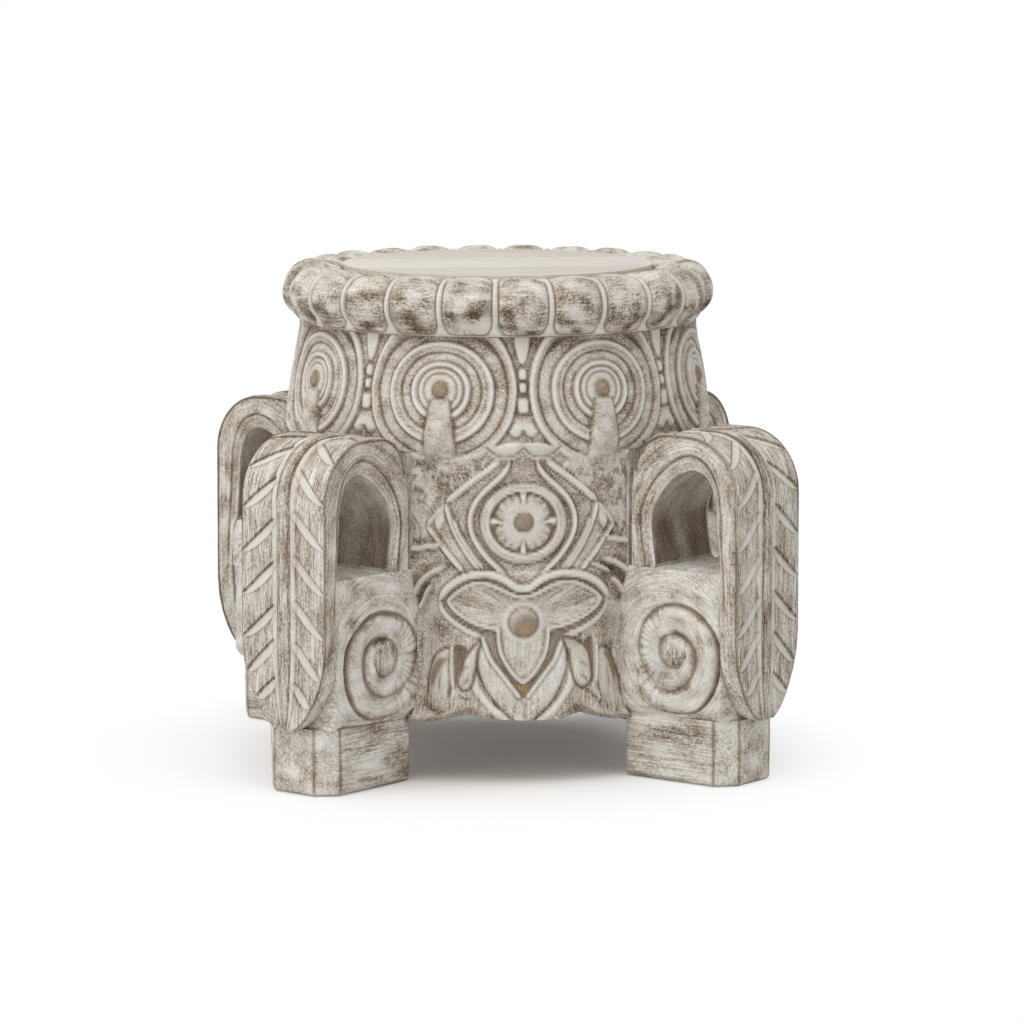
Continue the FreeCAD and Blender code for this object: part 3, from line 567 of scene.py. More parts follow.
leaf_end = travel[post_rings + shoulder_rings + crown_rings + heel_rings]
leaf_board = drawing_board(-46, 46, -2, leaf_end + 4, 0.5)
leaf_across, leaf_up = leaf_board
off_rib = np.abs(leaf_across)
leaf_section = [
    (0, -0.5), (5, -0.6), (6.2, -2.1), (7.2, -2.0), (9.8, -1.3), (11.8, -1.9), (13, -3.1), (17, -2.7),
    (38, -1.1), (42, -0.9), (45, -1.4),
]
leaf = read_off(off_rib, leaf_section)
ink = 0.7 * hump((off_rib - 6.2) / 0.9) + 0.35 * hump((off_rib - 13.2) / 0.7)
chalk = 1.1 * ease((off_rib - 7.0) / 0.8) * ease((12.7 - off_rib) / 0.8)
for hand, starts in ((-1, left_cuts), (1, right_cuts)):
    for start in starts:
        first = np.array([11.6, start - 1.8])
        last = np.array([44.2, start - 31.0])
        if start < 60:
            last = np.array([42.0, start - 20.0])
        slant = last - first
        length = np.hypot(*slant)
        t = ((leaf_across * hand - first[0]) * slant[0] + (leaf_up - first[1]) * slant[1]) / length**2
        below = ((leaf_across * hand - first[0]) * slant[1] - (leaf_up - first[1]) * slant[0]) / length
        below = np.where(np.abs(t - 0.5) < 0.5, below, 99.0)
        lens = 7.8 * np.sqrt(np.clip(3.2 * (t + 0.12) * (1 - t), 0, 1)) + 0.01
        cut = (below > 0) & (below < lens)
        leaf -= np.where(cut, 2.1 * (1 - below / lens) * np.clip(lens / 3, 0, 1), 0)
        # Each cut's floor is painted white: white paint in the cut together with a painted highlight on its
        # up-facing slope. The dark line along the cut's upper edge is painted shadow under its steep wall.
        chalk = np.maximum(chalk, np.where(cut, 1.35 * ease(below / 0.7), 0))
        ink = np.maximum(ink, 0.9 * hump((below + 0.2) / 0.7) * np.clip(lens / 3, 0, 1))
        ink = np.maximum(ink, 0.5 * hump((below - lens - 0.4) / 0.7))
leaf += 0.08 * mottle(leaf.shape, 2, 4)
leaf += 0.10 * blurred(np.random.default_rng(6).normal(size=(1, leaf.shape[1])), 1)
leaf = np.minimum(leaf, -0.15)
on_face = depth > 0.999
face = np.where(on_face & (along < leaf_end + 2), pressed(leaf_board, leaf, side * strap_half, along), 0)
shift = face * np.where(on_face, ease((leaf_end + 4 - along) / 14), 0)

inner_gap, outer_gap = depth * thickness, (1 - depth) * thickness
bends = [0, post_rings, post_rings + shoulder_rings, ring_count - 60, ring_count]
line_at = np.interp(ring, bends, [6.5, 6.5, 12.5, 10, 8])
upper = ease((spine[:, 1] - 138) / 24)
on_side = np.abs(side) > 0.999
groove_in = hump((inner_gap - line_at) / 1.2) * upper
groove_out = hump((outer_gap - 2.3) / 1.7) * (along < leaf_end)
band = -1.4 * groove_in - 1.0 * groove_out
band -= 4.6 * ease((line_at - inner_gap) / line_at) * ease((spine[:, 1] - 176) / 10)
band -= 0.5 * hump((inner_gap - line_at - 5.5) / 0.9) * upper * (spine[:, 1] < 232)
band = np.where(on_side, band, 0)
places = np.column_stack([
    spine[:, 0] + shift * lean[:, 0],
    across + np.sign(side) * band,
    spine[:, 1] + shift * lean[:, 1],
])
rounding = ease((np.abs(side) - 0.86) / 0.14) * on_face * ease((along - 130) / 60) * (along < leaf_end)
places[:, 0] -= 0.9 * rounding * lean[:, 0]
places[:, 2] -= 0.9 * rounding * lean[:, 1]
move_to(strap, places)
inside_hole = ease((1.5 - inner_gap) / 1.5) * (spine[:, 1] > 184) * (np.abs(side) < 0.97)
leaf_marks_and_shade = pressed(leaf_board, np.clip(ink, 0, 1), side * strap_half, along)
side_hollow = np.clip(0.6 * groove_in + 0.46 * groove_out, 0, 1)
lip = hump((inner_gap - 1.2) / 1.4) * upper
face_chalk = pressed(leaf_board, chalk, side * strap_half, along)
# The rib down the middle of the leaf is painted darker, as shade.
rib = ease((5.9 - np.abs(side * strap_half)) / 0.8)
strap_patches = unevenness(places, 7, 28)
# Inside the opening the wood is painted in shade, darker low down and towards its sides.
shade_in_opening = 0.1 + 0.45 * ease((np.abs(across) + 2) / 22) * ease((244 - spine[:, 1]) / 30)
note_finish(
    strap,
    np.column_stack([along * 0.7, across * np.where(on_face, 1.45, 1.1), inner_gap * 1.1]),
    shade_and_brown_lines=np.where(on_face, 0.85 * leaf_marks_and_shade, np.where(on_side, side_hollow, inside_hole * shade_in_opening)),
    worn=np.where(on_face, face_chalk, np.where(on_side, 0.5 * lip, 0)),
    thin=np.where(on_face, 0.52 + 0.45 * rib + 0.25 * strap_patches, 0.55 + 0.4 * strap_patches * on_side),
    honey=np.where(on_side, 0.66 * groove_out + 0.25 * groove_in, 0),
    strokes=np.where(on_face, 1.25, np.where(on_side, 0.8, 0.3)),
)

heel = new_piece(bpy.ops.mesh.primitive_cube_add, size=2)
open_mesh()
bpy.ops.mesh.subdivide(number_cuts=31)
bpy.ops.object.mode_set(mode="OBJECT")
rough = places_of(heel) / 1000
across = rough[:, 1] * heel_half
drum_reach = np.sqrt(heel_face**2 - across**2)
heel_reach = heel_back + (rough[:, 0] + 1) / 2 * (drum_reach - heel_back)
move_to(heel, np.column_stack([heel_reach, across, heel_bottom + (rough[:, 2] + 1) / 2 * heel_height]))
note_finish(heel, places_of(heel)[:, [2, 1, 0]], shade_and_brown_lines=0.1, thin=0.4)
bpy.ops.object.select_all(action="DESELECT")
heel.select_set(True)
strap.select_set(True)
bpy.context.view_layer.objects.active = strap
bpy.ops.object.join()
strap_finish = limewash("limewashed_strap", specks=1.1, clouds=1.1)
fit_round(strap, leg_turns, "strap", "leg_strap", strap_finish, 50)

# Cross rails: two planed softwood rails that tie opposite legs together inside the drum.
# They cross in a half lap and end in tenons in the scroll blocks; nothing covers the bare wood.


def bare_wood(name, pale, dark, heading):
    finish, tree, skin = new_finish(name, 0.7)
    place = tree.nodes.new("ShaderNodeTexCoord").outputs["Object"]
    lay = wire(tree, "Mapping", {"Vector": place, "Rotation": heading})["Vector"]
    rings = texture(tree, lay, 6, 120, 4, 0.6)
    fibres = texture(tree, lay, 40, 700, 3, 0.6)
    tone = layer_over(tree, between(tree, rings, 0.35, 0.68), pale, dark)
    tone = layer_over(tree, weigh(tree, 0.0, (between(tree, fibres, 0.55, 0.75), 0.4)), tone, dark)
    coat_with(tree, skin, tone, fibres, 0.3, 0.0004)
    return finish


def refinish(node, finish):
    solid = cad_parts[node]
    if not solid.material_slots:
        solid.data.materials.append(finish)
    for place in solid.material_slots:
        place.material = finish


rail_pale, rail_dark = (0.50, 0.36, 0.22), (0.31, 0.20, 0.11)
refinish("cross_rail_lower", bare_wood("bare_rail_lower", rail_pale, rail_dark, (0, 0, 0)))
refinish("cross_rail_upper", bare_wood("bare_rail_upper", rail_pale, rail_dark, (0, 0, math.pi / 2)))

# Apron panels: four curved panels of limed wood that close the drum between the legs, carved in low relief.
# A flower in a pointed frame stands over a three-petalled leaf; dowels hold each panel to its two legs.
apron_radius, apron_bore, apron_bottom, apron_top = 181.0, 150.2, 56.0, 281.0
panel_turns = {"right": 45, "rear": 135, "left": 225, "front": 315}
apron_sweep = 2 * (45 - math.degrees(math.asin(45.2 / apron_radius)))
apron_columns, apron_rows = 256, 296
flower_up, trefoil_up, fan_up = 223.5, 138.8, 143.0
neck_middle, stave_half, boss_up = 178.0, 69.9, 334.0


def spin_round(piece, degrees, steps):
    open_mesh()
    bpy.ops.mesh.spin(steps=steps, angle=math.radians(degrees), center=(0, 0, 0), axis=(0, 0, 1))
    bpy.ops.mesh.select_all(action="SELECT")
    bpy.ops.mesh.remove_doubles(threshold=1e-6)
    close_mesh()
    spots = places_of(piece)
    radius, turn = np.hypot(spots[:, 0], spots[:, 1]), np.arctan2(spots[:, 1], spots[:, 0])
    return radius, turn + math.radians(degrees) / 2, spots[:, 2]


def curved_blank(outer, bore, bottom, top, rows):
    blank = new_piece(bpy.ops.mesh.primitive_plane_add, size=2)
    rough = places_of(blank)
    reach = np.where(rough[:, 0] > 0, outer, bore)
    move_to(blank, np.column_stack([reach, 0 * reach, np.where(rough[:, 1] > 0, top, bottom)]))
    subdivide_edges(blank, lambda a, b: min(a[0], b[0]) > outer - 0.1, rows - 1)
    return blank


apron = curved_blank(apron_radius, apron_bore, apron_bottom, apron_top, apron_rows)
radius, turn, up = spin_round(apron, apron_sweep, apron_columns)
apron_board = drawing_board(-100, 100, 48, 286, 0.5)
over, high = apron_board
flank = np.abs(over)
speckle, cloud, blotch = (mottle(over.shape, cells, seed) for cells, seed in ((1, 11), (9, 12), (12, 13)))
# Dark marks in the sheet are brown outlines along the carving together with painted shade in the creases at
# the foot of raised parts.
relief = {
    "height": -2.0 + 0.08 * speckle + 0.28 * cloud,
    "ink": np.zeros(over.shape),
    "chalk": np.zeros(over.shape),
    "thin": 0.6 + 0.2 * cloud + 0.2 * blotch,
    "honey": np.zeros(over.shape),
}


def ridge(sheet, gap, half, top, edge=0.7, foot=-2.9):
    body = gap < half
    beside = sheet["height"] - 0.8 * hump((gap - half - 0.7) / 1.0)
    sheet["height"] = np.where(body, foot + bead(gap, half, top - foot), beside)
    outline = edge * hump((gap - half - 0.1) / 0.75)
    sheet["ink"] = np.maximum(np.where(body, 0, sheet["ink"]), outline)
    sheet["chalk"] = np.where(body, 0.8 * ease((half - gap) / 1.3), sheet["chalk"])
    sheet["thin"] = np.where(body, 0.05, sheet["thin"])
    sheet["honey"] = np.where(body, 0, np.maximum(sheet["honey"], 0.3 * outline))


def area(sheet, chosen, **levels):
    for name, level in levels.items():
        sheet[name] = np.where(chosen, level, sheet[name])


def at_least(sheet, **levels):
    for name, level in levels.items():
        sheet[name] = np.maximum(sheet[name], level)


def blend(sheet, share, **levels):
    for name, level in levels.items():
        sheet[name] = sheet[name] + share * (level - sheet[name])


ogee = drawn_line([
    (11.5, 276), (13.5, 269), (19.5, 261), (30, 251.5), (38, 243), (43, 234), (45, 225), (44, 215),
    (39.5, 205), (31, 193.5), (21, 183.7), (14.5, 176), (10, 169),
])
frame_upper = drawn_line([(19, 276), (30, 267), (42, 258.5), (54, 249), (66, 239)])
frame_lower = drawn_line([(66, 238), (62.5, 225), (56.5, 211), (48, 197), (37.5, 183)])
second_upper = drawn_line([(67, 237), (75, 228.5), (83, 219.5)])
second_lower = drawn_line([(82.5, 219), (73, 206.5), (62.5, 194), (51, 181)])
within_frame = inside(flank, high, np.vstack([frame_upper, frame_lower, [(0, 183), (0, 280)]]))
within_second = inside(flank, high, np.vstack([second_upper, second_lower, frame_lower[::-1]]))
relief["height"] -= 0.7 * within_frame
area(relief, within_frame, thin=0.85 + 0.12 * cloud)
area(relief, within_second, thin=0.55, height=-1.9)
corner = (~within_frame) & (~within_second) & (high > 226 - 0.25 * flank) & (flank > 2)
patchy = 0.7 * mottle(over.shape, 2, 15) + 0.8 * mottle(over.shape, 10, 16)
pale = ease((patchy + 0.9) / 2.2)
area(relief, corner, thin=1.3 - 0.95 * pale, chalk=0.4 * pale, ink=0.16 * (1 - pale))
relief["height"] += np.where(corner, 0.45 * pale - 0.3, 0)
comb = hump((high - 265) / 7) * (flank < 14)
relief["height"] += 0.35 * np.cos(high * 2.1) * comb
at_least(relief, ink=0.45 * comb * ease(np.cos(high * 2.1)))
for line, half, top, edge in (
    (second_upper, 2.0, -0.8, 0.4), (second_lower, 2.6, 0.3, 0.7), (frame_upper, 2.9, -0.4, 0.35),
    (frame_lower, 2.5, 0.4, 0.7), (ogee, 2.6, 0.9, 0.7),
):
    gap, along = gap_to(flank, high, line)
    ridge(relief, gap, half * np.clip(0.35 + 9 * np.minimum(along, 1 - along), 0, 1), top, edge)
inner_line = drawn_line([(59, 223), (53.5, 211), (45, 198), (35, 185)])
ridge(relief, gap_to(flank, high, inner_line)[0], 1.5, -0.4, 0.5)
filler = drawn_line([(68, 232), (74, 228), (76, 221), (73, 215.5), (68.5, 219)], closed=True)
area(relief, inside(flank, high, filler), height=-0.6, chalk=0.5, thin=0)
at_least(relief, ink=0.7 * hump(gap_to(flank, high, filler)[0]) * (high < 222))

flower_high = high - flower_up
spread = np.hypot(over, flower_high)
bearing = np.degrees(np.arctan2(flower_high, over))
rim_out = np.hypot((over - 0.8) / 37.6, (high - 222.2) / 33.6)
rim_in = np.hypot(over / 28.6, (high - 222.6) / 26.6)
ring_gap = np.abs((rim_out * 35 - 35 + (rim_in - 1) * 27.6) / 2)
disc = rim_in < 1.02
area(relief, rim_out < 1, height=-2.6, thin=0.6, chalk=0, ink=0.5, honey=0.5)
off_petal = np.abs((bearing % 90) - 45)
scallops = np.cos(np.radians(bearing * 20))
petal_edge = 25.5 - 0.5 * np.sign(flower_high) - 7.5 * np.clip(off_petal / 45, 0, 1) ** 4 + 0.2 * scallops
petal = (spread < petal_edge) & disc
petal_form = -1.5 + 2.1 * ease((petal_edge - spread) / 2.4) - 1.1 * ease((spread - 12) / 9)
petal_form += 0.12 * scallops * ease((spread - 17) / 8)
valley = hump((45 - off_petal) * spread / 57.3 / 1.2) * ease((spread - 12) / 4)
petal_form -= 1.0 * valley
area(relief, petal, height=petal_form, thin=0.1 + 0.6 * ease((spread - 15) / 7), chalk=0.35, honey=0)
fringe = 0.42 * ease(-scallops) * ease((spread - 17) / 6)
petal_line = np.maximum(0.75 * ease((1.3 - petal_edge + spread) / 1.3), fringe)
area(relief, petal, ink=np.maximum(petal_line, 0.45 * valley))
to_sepal = ((bearing + 45) % 90) - 45
sepal_gap = np.abs(np.radians(to_sepal)) * spread
top_one = np.abs(bearing - 90) < 45
sepal_half = np.interp(spread, [14, 17, 21, 25, 29], [0.4, 1.0, 1.8, 2.5, 2.7]) + np.where(top_one, 0.8, 0)
on_sepal = (sepal_gap < sepal_half) & (spread > 14.5) & (rim_in < 1.06)
area(relief, on_sepal, height=-1.6 + bead(sepal_gap, sepal_half, 2.0), chalk=0.8, ink=0, thin=0, honey=0)
sepal_edge = 0.75 * hump((sepal_gap - sepal_half - 0.4) / 0.75) * ease((spread - 14) / 3) * disc
at_least(relief, ink=sepal_edge)
ridge(relief, np.where(rim_in > 0.8, ring_gap, 99), 4.3, 0.6)
on_band = (ring_gap < 3.6) & (rim_in > 0.8)
inner_lip = hump((rim_in - 1.035) * 27.6 / 1.3) * on_band
outer_line = hump((rim_in - 1.115) * 27.6 / 0.9) * on_band * ease(blotch + 0.6)
relief["height"] += np.where(on_band, 0.9 * inner_lip - 0.5 * outer_line, 0)
at_least(relief, ink=0.22 * outer_line)
area(relief, on_band, thin=0.5 * (1 - inner_lip), chalk=0.2 + 0.6 * inner_lip)
dish = ease((14 - spread) / 4)
blend(relief, dish, height=0.1, ink=0)
at_least(relief, chalk=0.8 * dish)
boss_form = -0.8 + bead(spread, 8.6, 3.6)
boss_gold = np.clip(0.74 + 0.08 * speckle, 0.4, 1.0)
area(relief, spread < 8.4, height=boss_form, honey=boss_gold, ink=0, chalk=0, thin=0.5)
at_least(relief, ink=0.6 * hump((spread - 8.5) / 0.8))

wing = np.where(over < 0, flank * (1 + 0.09 * ease((flank - 15) / 45)), flank)
petal_top = drawn_line([
    (0, 159.5), (10, 162), (21, 167.3), (32, 171), (44, 171), (55, 167), (64, 161.3), (70, 155.8),
])
petal_under = drawn_line([
    (70, 155.8), (64.5, 149.3), (56, 143.5), (46, 138.8), (35, 135.3), (21.3, 132.6),
])
petal_down = drawn_line([(21.3, 132.6), (20.8, 122), (18.3, 111), (12, 99.5), (6, 92), (0, 87.3)])
petal_lines = (petal_top, petal_under, petal_down)
in_trefoil = inside(wing, high, np.vstack([*petal_lines, [(0, 120)]]))
trefoil_gap = np.minimum.reduce([gap_to(wing, high, line, 24)[0] for line in petal_lines])
shoulder_ridge = drawn_line([
    (0, 166.8), (6, 168), (12, 172.3), (19, 176.3), (29, 179.3), (41, 179), (55, 176), (66, 170.3),
    (74, 163), (78.5, 156.5),
])
under_ridge = drawn_line([
    (79, 156.5), (77, 149.5), (70.3, 142.7), (60.3, 135.9), (49.2, 130.6), (38.5, 127),
])
gap, along = gap_to(wing, high, under_ridge)
ridge(relief, gap, 2.8 * np.clip(0.5 + 6 * (1 - along), 0, 1), -0.9, 0.2)
gap, along = gap_to(wing, high, shoulder_ridge)
ridge(relief, gap, 3.6 * np.clip(0.4 + 8 * (1 - along), 0, 1), 0.9)
in_petal = in_trefoil & (high > 126)
fan = np.degrees(np.arctan2(high - fan_up, wing))
rays = np.cos(np.radians(fan * 26) + 0.1 * wing)
furrows = np.cos(over * 2.3)
bowl = -1.9 + 1.1 * ease((7 - trefoil_gap) / 6) + np.where(in_petal, 0.3 * rays, 0.2 * furrows)
spread = np.hypot(over, high - trefoil_up)
veined = np.where(in_petal, rays, furrows)
stroked = ease(veined - 0.2) * ease((trefoil_gap - 3) / 3) * ease((spread - 17) / 12)
around = (~in_trefoil) & (trefoil_gap < 6.4)
bowl_thin = np.where(in_petal, 0.1 + 0.5 * ease((fan - 4) / 14), 0.2)
area(relief, in_trefoil, height=bowl, thin=bowl_thin, ink=0.26 * stroked, chalk=0.2, honey=0)
groove_tone = np.where(high > 150, 0.34, 0.2)
beside_petal = around & (gap > 3.4)
area(relief, beside_petal, height=-2.6, thin=0.8, ink=groove_tone, chalk=0, honey=0.3)
line_out = hump((trefoil_gap - 6.3) / 0.8) * ~in_trefoil * (gap > 3.4)
at_least(relief, ink=0.7 * line_out, honey=0.45 * line_out)
ridge(relief, trefoil_gap, 2.1, 0.7)
halo = hump((spread - 15.2) / 2.8)
blend(relief, halo, height=-0.7, ink=0)
at_least(relief, chalk=0.8 * halo)
relief["thin"] *= 1 - 0.7 * halo
vein = hump(over / 1.2) * ease((125 - high) / 6) * ease((high - 103) / 10)
relief["height"] += 0.9 * vein
at_least(relief, chalk=1.0 * vein)
relief["ink"] *= 1 - vein
boss_form = -1.0 + bead(spread, 12.7, 6.0)
# The gold lies low and to the right on the boss, so its upper left stays pale: a painted highlight.
boss_gold = (0.96 + 0.1 * speckle) * ease((19 - np.hypot(over - 2.5, high - 134)) / 16)
area(relief, spread < 12.6, height=boss_form, honey=boss_gold, ink=0, chalk=0, thin=0.5)
at_least(relief, ink=0.65 * hump((spread - 12.6) / 0.9))

cup_ridge = drawn_line([(34.5, 124), (31, 115), (26.5, 105), (18, 94), (9.5, 83), (4, 76)])
cup_line = drawn_line([
    (36.5, 121), (38.5, 110), (38.6, 99), (35, 88), (29.5, 77), (22, 67), (13, 59), (8, 55),
])
in_cup = inside(flank, high, np.vstack([cup_ridge, [(0, 75), (0, 53)], cup_line[::-1]]))
cup_gap = gap_to(flank, high, cup_line)[0]
leaf_level = -1.9 + 1.6 * ease(cup_gap / 5) + 0.08 * speckle
low_share = ease((84 - high) / 18)
area(relief, in_cup, height=leaf_level, thin=0.55 * low_share + 0.05, chalk=0.4 * (1 - low_share), ink=0)
v_groove = np.vstack([petal_down, [(0, 74), (4, 76)], cup_ridge[::-1]])
below_petal = (~in_trefoil) & (inside(flank, high, v_groove) | ((flank < 1) & (high < 87) & (high > 75)))
tip_share = ease((94 - high) / 8)
area(relief, below_petal, height=-2.7, ink=0.22 - 0.2 * tip_share, honey=0.35, thin=0.8, chalk=0)
at_least(relief, honey=0.95 * tip_share * below_petal)
ridge(relief, gap_to(flank, high, cup_ridge)[0], 2.3, 0.1)
ridge(relief, trefoil_gap * np.where(high < 133, 1, 99), 2.1, 0.7)
relief["height"] -= 1.5 * hump(cup_gap / 1.2)
at_least(relief, ink=0.8 * hump(cup_gap / 1.2))
outer_band = drawn_line([(43, 93), (40.5, 83), (34.5, 73), (26.5, 64.5), (17.5, 58), (13, 54)])
ridge(relief, gap_to(flank, high, outer_band)[0], 3.4, -0.9, 0.2)

side_leaves = (
    [
        (-35.8, 123.3), (-44, 116.5), (-50, 107), (-53.5, 97), (-56, 86), (-50, 80), (-43, 86), (-40.5, 97),
        (-39, 110),
    ],
    [
        (33.3, 125), (45, 122.5), (53, 118), (58.5, 110), (60.5, 98), (60.5, 87), (53, 81), (45, 87),
        (42, 98), (39.5, 112),
    ],
    [(-62, 113), (-69, 114.8), (-77, 109), (-82.5, 98.5), (-85.5, 85), (-84, 73), (-74, 68), (-64, 76)],
    [(68, 112), (80, 112), (88, 103.5), (93, 92), (95, 80), (92, 70), (80, 68), (69, 78)],
)
for knots in side_leaves:
    edge = drawn_line(knots, closed=True)
    body = inside(over, high, edge)
    gap = gap_to(over, high, edge)[0]
    veins = np.cos(over * 1.7 + 0.05 * high)
    form = -2.0 + 1.9 * ease(gap / 6) + 0.16 * veins
    area(relief, body, height=form, thin=0.2 + 0.25 * blotch, chalk=0.3, ink=0.22 * ease(veins))
    rim_line = hump((gap - 0.2) / 1.1) * ease((high - 70) / 10)
    at_least(relief, ink=0.85 * rim_line, honey=0.4 * rim_line)
recesses = (
    [(-59, 116), (-52.5, 118.5), (-48, 116), (-53, 102), (-56.5, 88), (-58.6, 82)],
    [(54, 120.5), (61.7, 124.5), (63.3, 113), (64, 101.7), (63.4, 85), (61.5, 90), (60.8, 102), (58.5, 112)],
)
for knots in recesses:
    edge = drawn_line(knots, closed=True)
    gap = gap_to(over, high, edge)[0]
    pit = ease(gap / 2)
    in_pit = inside(over, high, edge)
    pit_gold = np.clip(0.7 + 0.15 * blotch, 0.4, 0.95)
    area(relief, in_pit, height=-2.4 - 1.2 * pit, ink=0.18 + 0.2 * pit, honey=pit_gold, chalk=0, thin=0.6)
for knots, half, gold in (
    ([(-62.5, 108.5), (-71.5, 103.5), (-78, 93.5), (-83, 77)], 4.6, 0.9),
    ([(71, 110), (80.5, 105.5), (87.5, 95.5), (92, 80)], 4.6, 0.9),
    ([(-43.5, 102), (-49, 100), (-55, 95.5)], 1.0, 0.1), ([(-43, 91), (-48, 89), (-53, 84)], 0.9, 0.1),
    ([(47, 105), (52, 102.5), (58, 98)], 1.0, 0.1), ([(48, 93.5), (53, 91), (58, 86)], 0.9, 0.1),
    ([(-69, 98), (-72, 88), (-72, 76)], 0.8, 0.2), ([(76, 98), (80, 88), (81, 76)], 0.8, 0.2),
    ([(-90, 74), (-80, 66), (-68, 63), (-60, 70)], 1.0, 0.2), ([(-58, 78), (-50, 72), (-40, 70)], 0.9, 0.2),
    ([(44, 80), (56, 79), (66, 72), (74, 62)], 1.0, 0.3), ([(94, 70), (86, 62), (80, 58)], 1.0, 0.3),
):
    gap, along = gap_to(over, high, drawn_line(knots))
    taper = np.sqrt(np.clip(np.sin(np.pi * np.clip(along, 0.03, 0.97)), 0, 1))
    cut = hump(gap / (half * taper + 0.1)) * taper
    relief["height"] -= 1.5 * cut
    at_least(relief, ink=(0.35 if half > 3 else 0.7) * cut, honey=gold * cut * ease((high - 74) / 14))
for knots in ([(-61, 117), (-61.3, 102), (-60.5, 84)], [(66, 116), (66.4, 102), (65.5, 86)]):
    ridge(relief, gap_to(over, high, drawn_line(knots))[0], 1.7, -0.3, 0.4)
hatch = np.cos(over * 1.75 + 0.7 * np.sin(high * 0.3)) * ease((80 - high) / 6) * ease((high - 61) / 4)
hatch = np.where(in_cup, 0, hatch * ease((flank - 34) / 5))
relief["height"] += 0.3 * hatch
at_least(relief, ink=0.4 * ease(-hatch))
lower_edge = ease((61 - high + 4.2 * hump((flank - 47) / 14)) / 3)
at_least(relief, ink=0.3 * lower_edge * ease((flank - 12) / 8))
at_least(relief, honey=0.4 * lower_edge * ease((flank - 30) / 12))
for knots, half in (
    ([(-70, 203.5), (-82, 201.5), (-99, 198.5)], 2.6),
    ([(-66, 185.5), (-78, 180), (-88, 172), (-97, 161)], 2.8),
    ([(-78, 170), (-86, 161), (-94, 149)], 2.2), ([(74, 206.8), (88, 204.8), (101, 202)], 2.8),
    ([(71, 189.3), (82, 186.5), (92, 181.5), (101, 175)], 2.9), ([(59, 186.8), (67, 184), (78, 178.5)], 2.1),
    ([(79, 173.5), (90, 166), (101, 155)], 2.4),
):
    gap, along = gap_to(over, high, drawn_line(knots))
    ridge(relief, gap, half * np.clip(0.3 + 5 * along, 0, 1), 0.3)
    shadow = hump((gap - half - 3.4) / 3.2) * (gap > half) * ease((flank - 64) / 12)
    relief["thin"] += 0.8 * shadow
    relief["height"] -= 0.6 * shadow
# The hollow beside each leg is painted darker, as shade.
shade_beside_leg = np.exp(-(((flank - 76) / 8) ** 2 + ((high - 136) / 15) ** 2))
relief["thin"] += 0.6 * shade_beside_leg
gap, along = gap_to(over, high, drawn_line([(-80, 250), (-76.5, 246.5), (-72, 245.5)]))
ridge(relief, gap, 1.5 * np.sin(np.pi * np.clip(along, 0.1, 0.9)), -1.0, 0.25)

ring_profile = [
    (8.0, -0.4), (9, 0.2), (13, 0.1), (14, -0.8), (14.8, -2.2), (15.6, -0.7), (17, 0.5), (18.6, 0.4),
    (19.6, -1.6), (20.6, -2.5), (21.6, -0.9), (23, 1.0), (24.4, 1.2), (25.8, 0.3), (26.8, -2.6),
    (28.2, -1.8), (31, -1.5), (34, -1.7), (35.3, -2.8), (36.4, -0.7), (38.2, 0.4), (40, -0.2),
    (42.5, 0.7), (44.6, 1.1), (45.9, 0.2), (46.9, -2.8), (48.5, -2.0), (52, -1.6), (56, -1.9),
    (57.6, -2.9), (58.9, -0.7), (60.4, 0.7), (62.6, 1.0), (64.6, 0.5), (65.8, -1.2), (66.6, -2.6),
    (68.5, -2.2), (90, -2.2),
]
whisker = drawn_line([
    (0, 285.8), (1.6, 284.4), (5, 280.8), (10, 278.5), (15.5, 277.7), (21, 279), (26, 282), (30.5, 286.5),
])


def draw_spur(sheet, aside, high):
    half_at = [262, 272, 281, 290, 300, 311, 320, 326]
    half = np.interp(high, half_at, [9, 12, 13.4, 13.4, 12.4, 10.6, 9.2, 8])
    rise_at = [262, 270, 278, 285, 300, 316, 322, 326]
    rise = np.interp(high, rise_at, [-2.0, -0.8, 1.8, 4.0, 5.3, 6.2, 5.2, 1.0])
    body = (np.abs(aside) < half) & (high < 326) & (high > 262)
    shown = ease((high - 270) / 14)
    form = np.sqrt(np.clip(1 - (aside / half) ** 2, 0, 1)) ** 0.8
    swell = np.maximum(-2.0 + (rise + 2.0) * form, sheet["height"] * (1 - shown) - 3 * shown)
    stain = np.clip(0.45 + 0.3 * mottle(sheet["height"].shape, 7, 41) + 0.3 * ease((high - 306) / 14), 0, 1)
    area(sheet, body, height=swell)
    share = shown * body
    blend(sheet, share, thin=0.1 + 0.9 * stain, chalk=0.5 * (1 - stain), ink=0.08 * stain, honey=0.0)
    edge = hump((np.abs(aside) - half - 0.3) / 0.9) * (high < 325) * ease((high - 279) / 14)
    sheet["height"] = sheet["height"] - 1.3 * edge * ~body
    at_least(sheet, ink=0.7 * edge)


def draw_whisker(sheet, from_joint, high):
    gap = gap_to(from_joint, high, whisker)[0]
    lower = np.interp(from_joint, whisker[:, 0], whisker[:, 1])
    upper = np.interp(from_joint, [0, 5, 12, 20, 27, 31], [290.4, 292, 291.6, 290, 287.8, 286.5])
    near = from_joint < 30.5
    lip = near & (high < lower) & (gap < 3.4)
    area(sheet, lip, height=-2.2 + 2.0 * ease((3.6 - gap) / 1.6), chalk=0.4, thin=0.2, ink=0, honey=0)
    share = near * (high >= lower) * ease((upper - high) / 3.5)
    blend(sheet, share, height=-1.2 + 2.8 * ease(gap / 5), chalk=0.55, thin=0.1, ink=0.0, honey=0.0)
    # The line along the whisker is a brown outline; the fainter line at the foot of its lip is painted
    # shadow.
    line = 0.8 * hump(gap / 0.8)
    lip_line = 0.5 * hump((gap - 3.7) / 0.8) * (high < lower) * near
    sheet["height"] = sheet["height"] - 0.9 * line
    at_least(sheet, ink=np.maximum(line, lip_line), honey=0.5 * line)


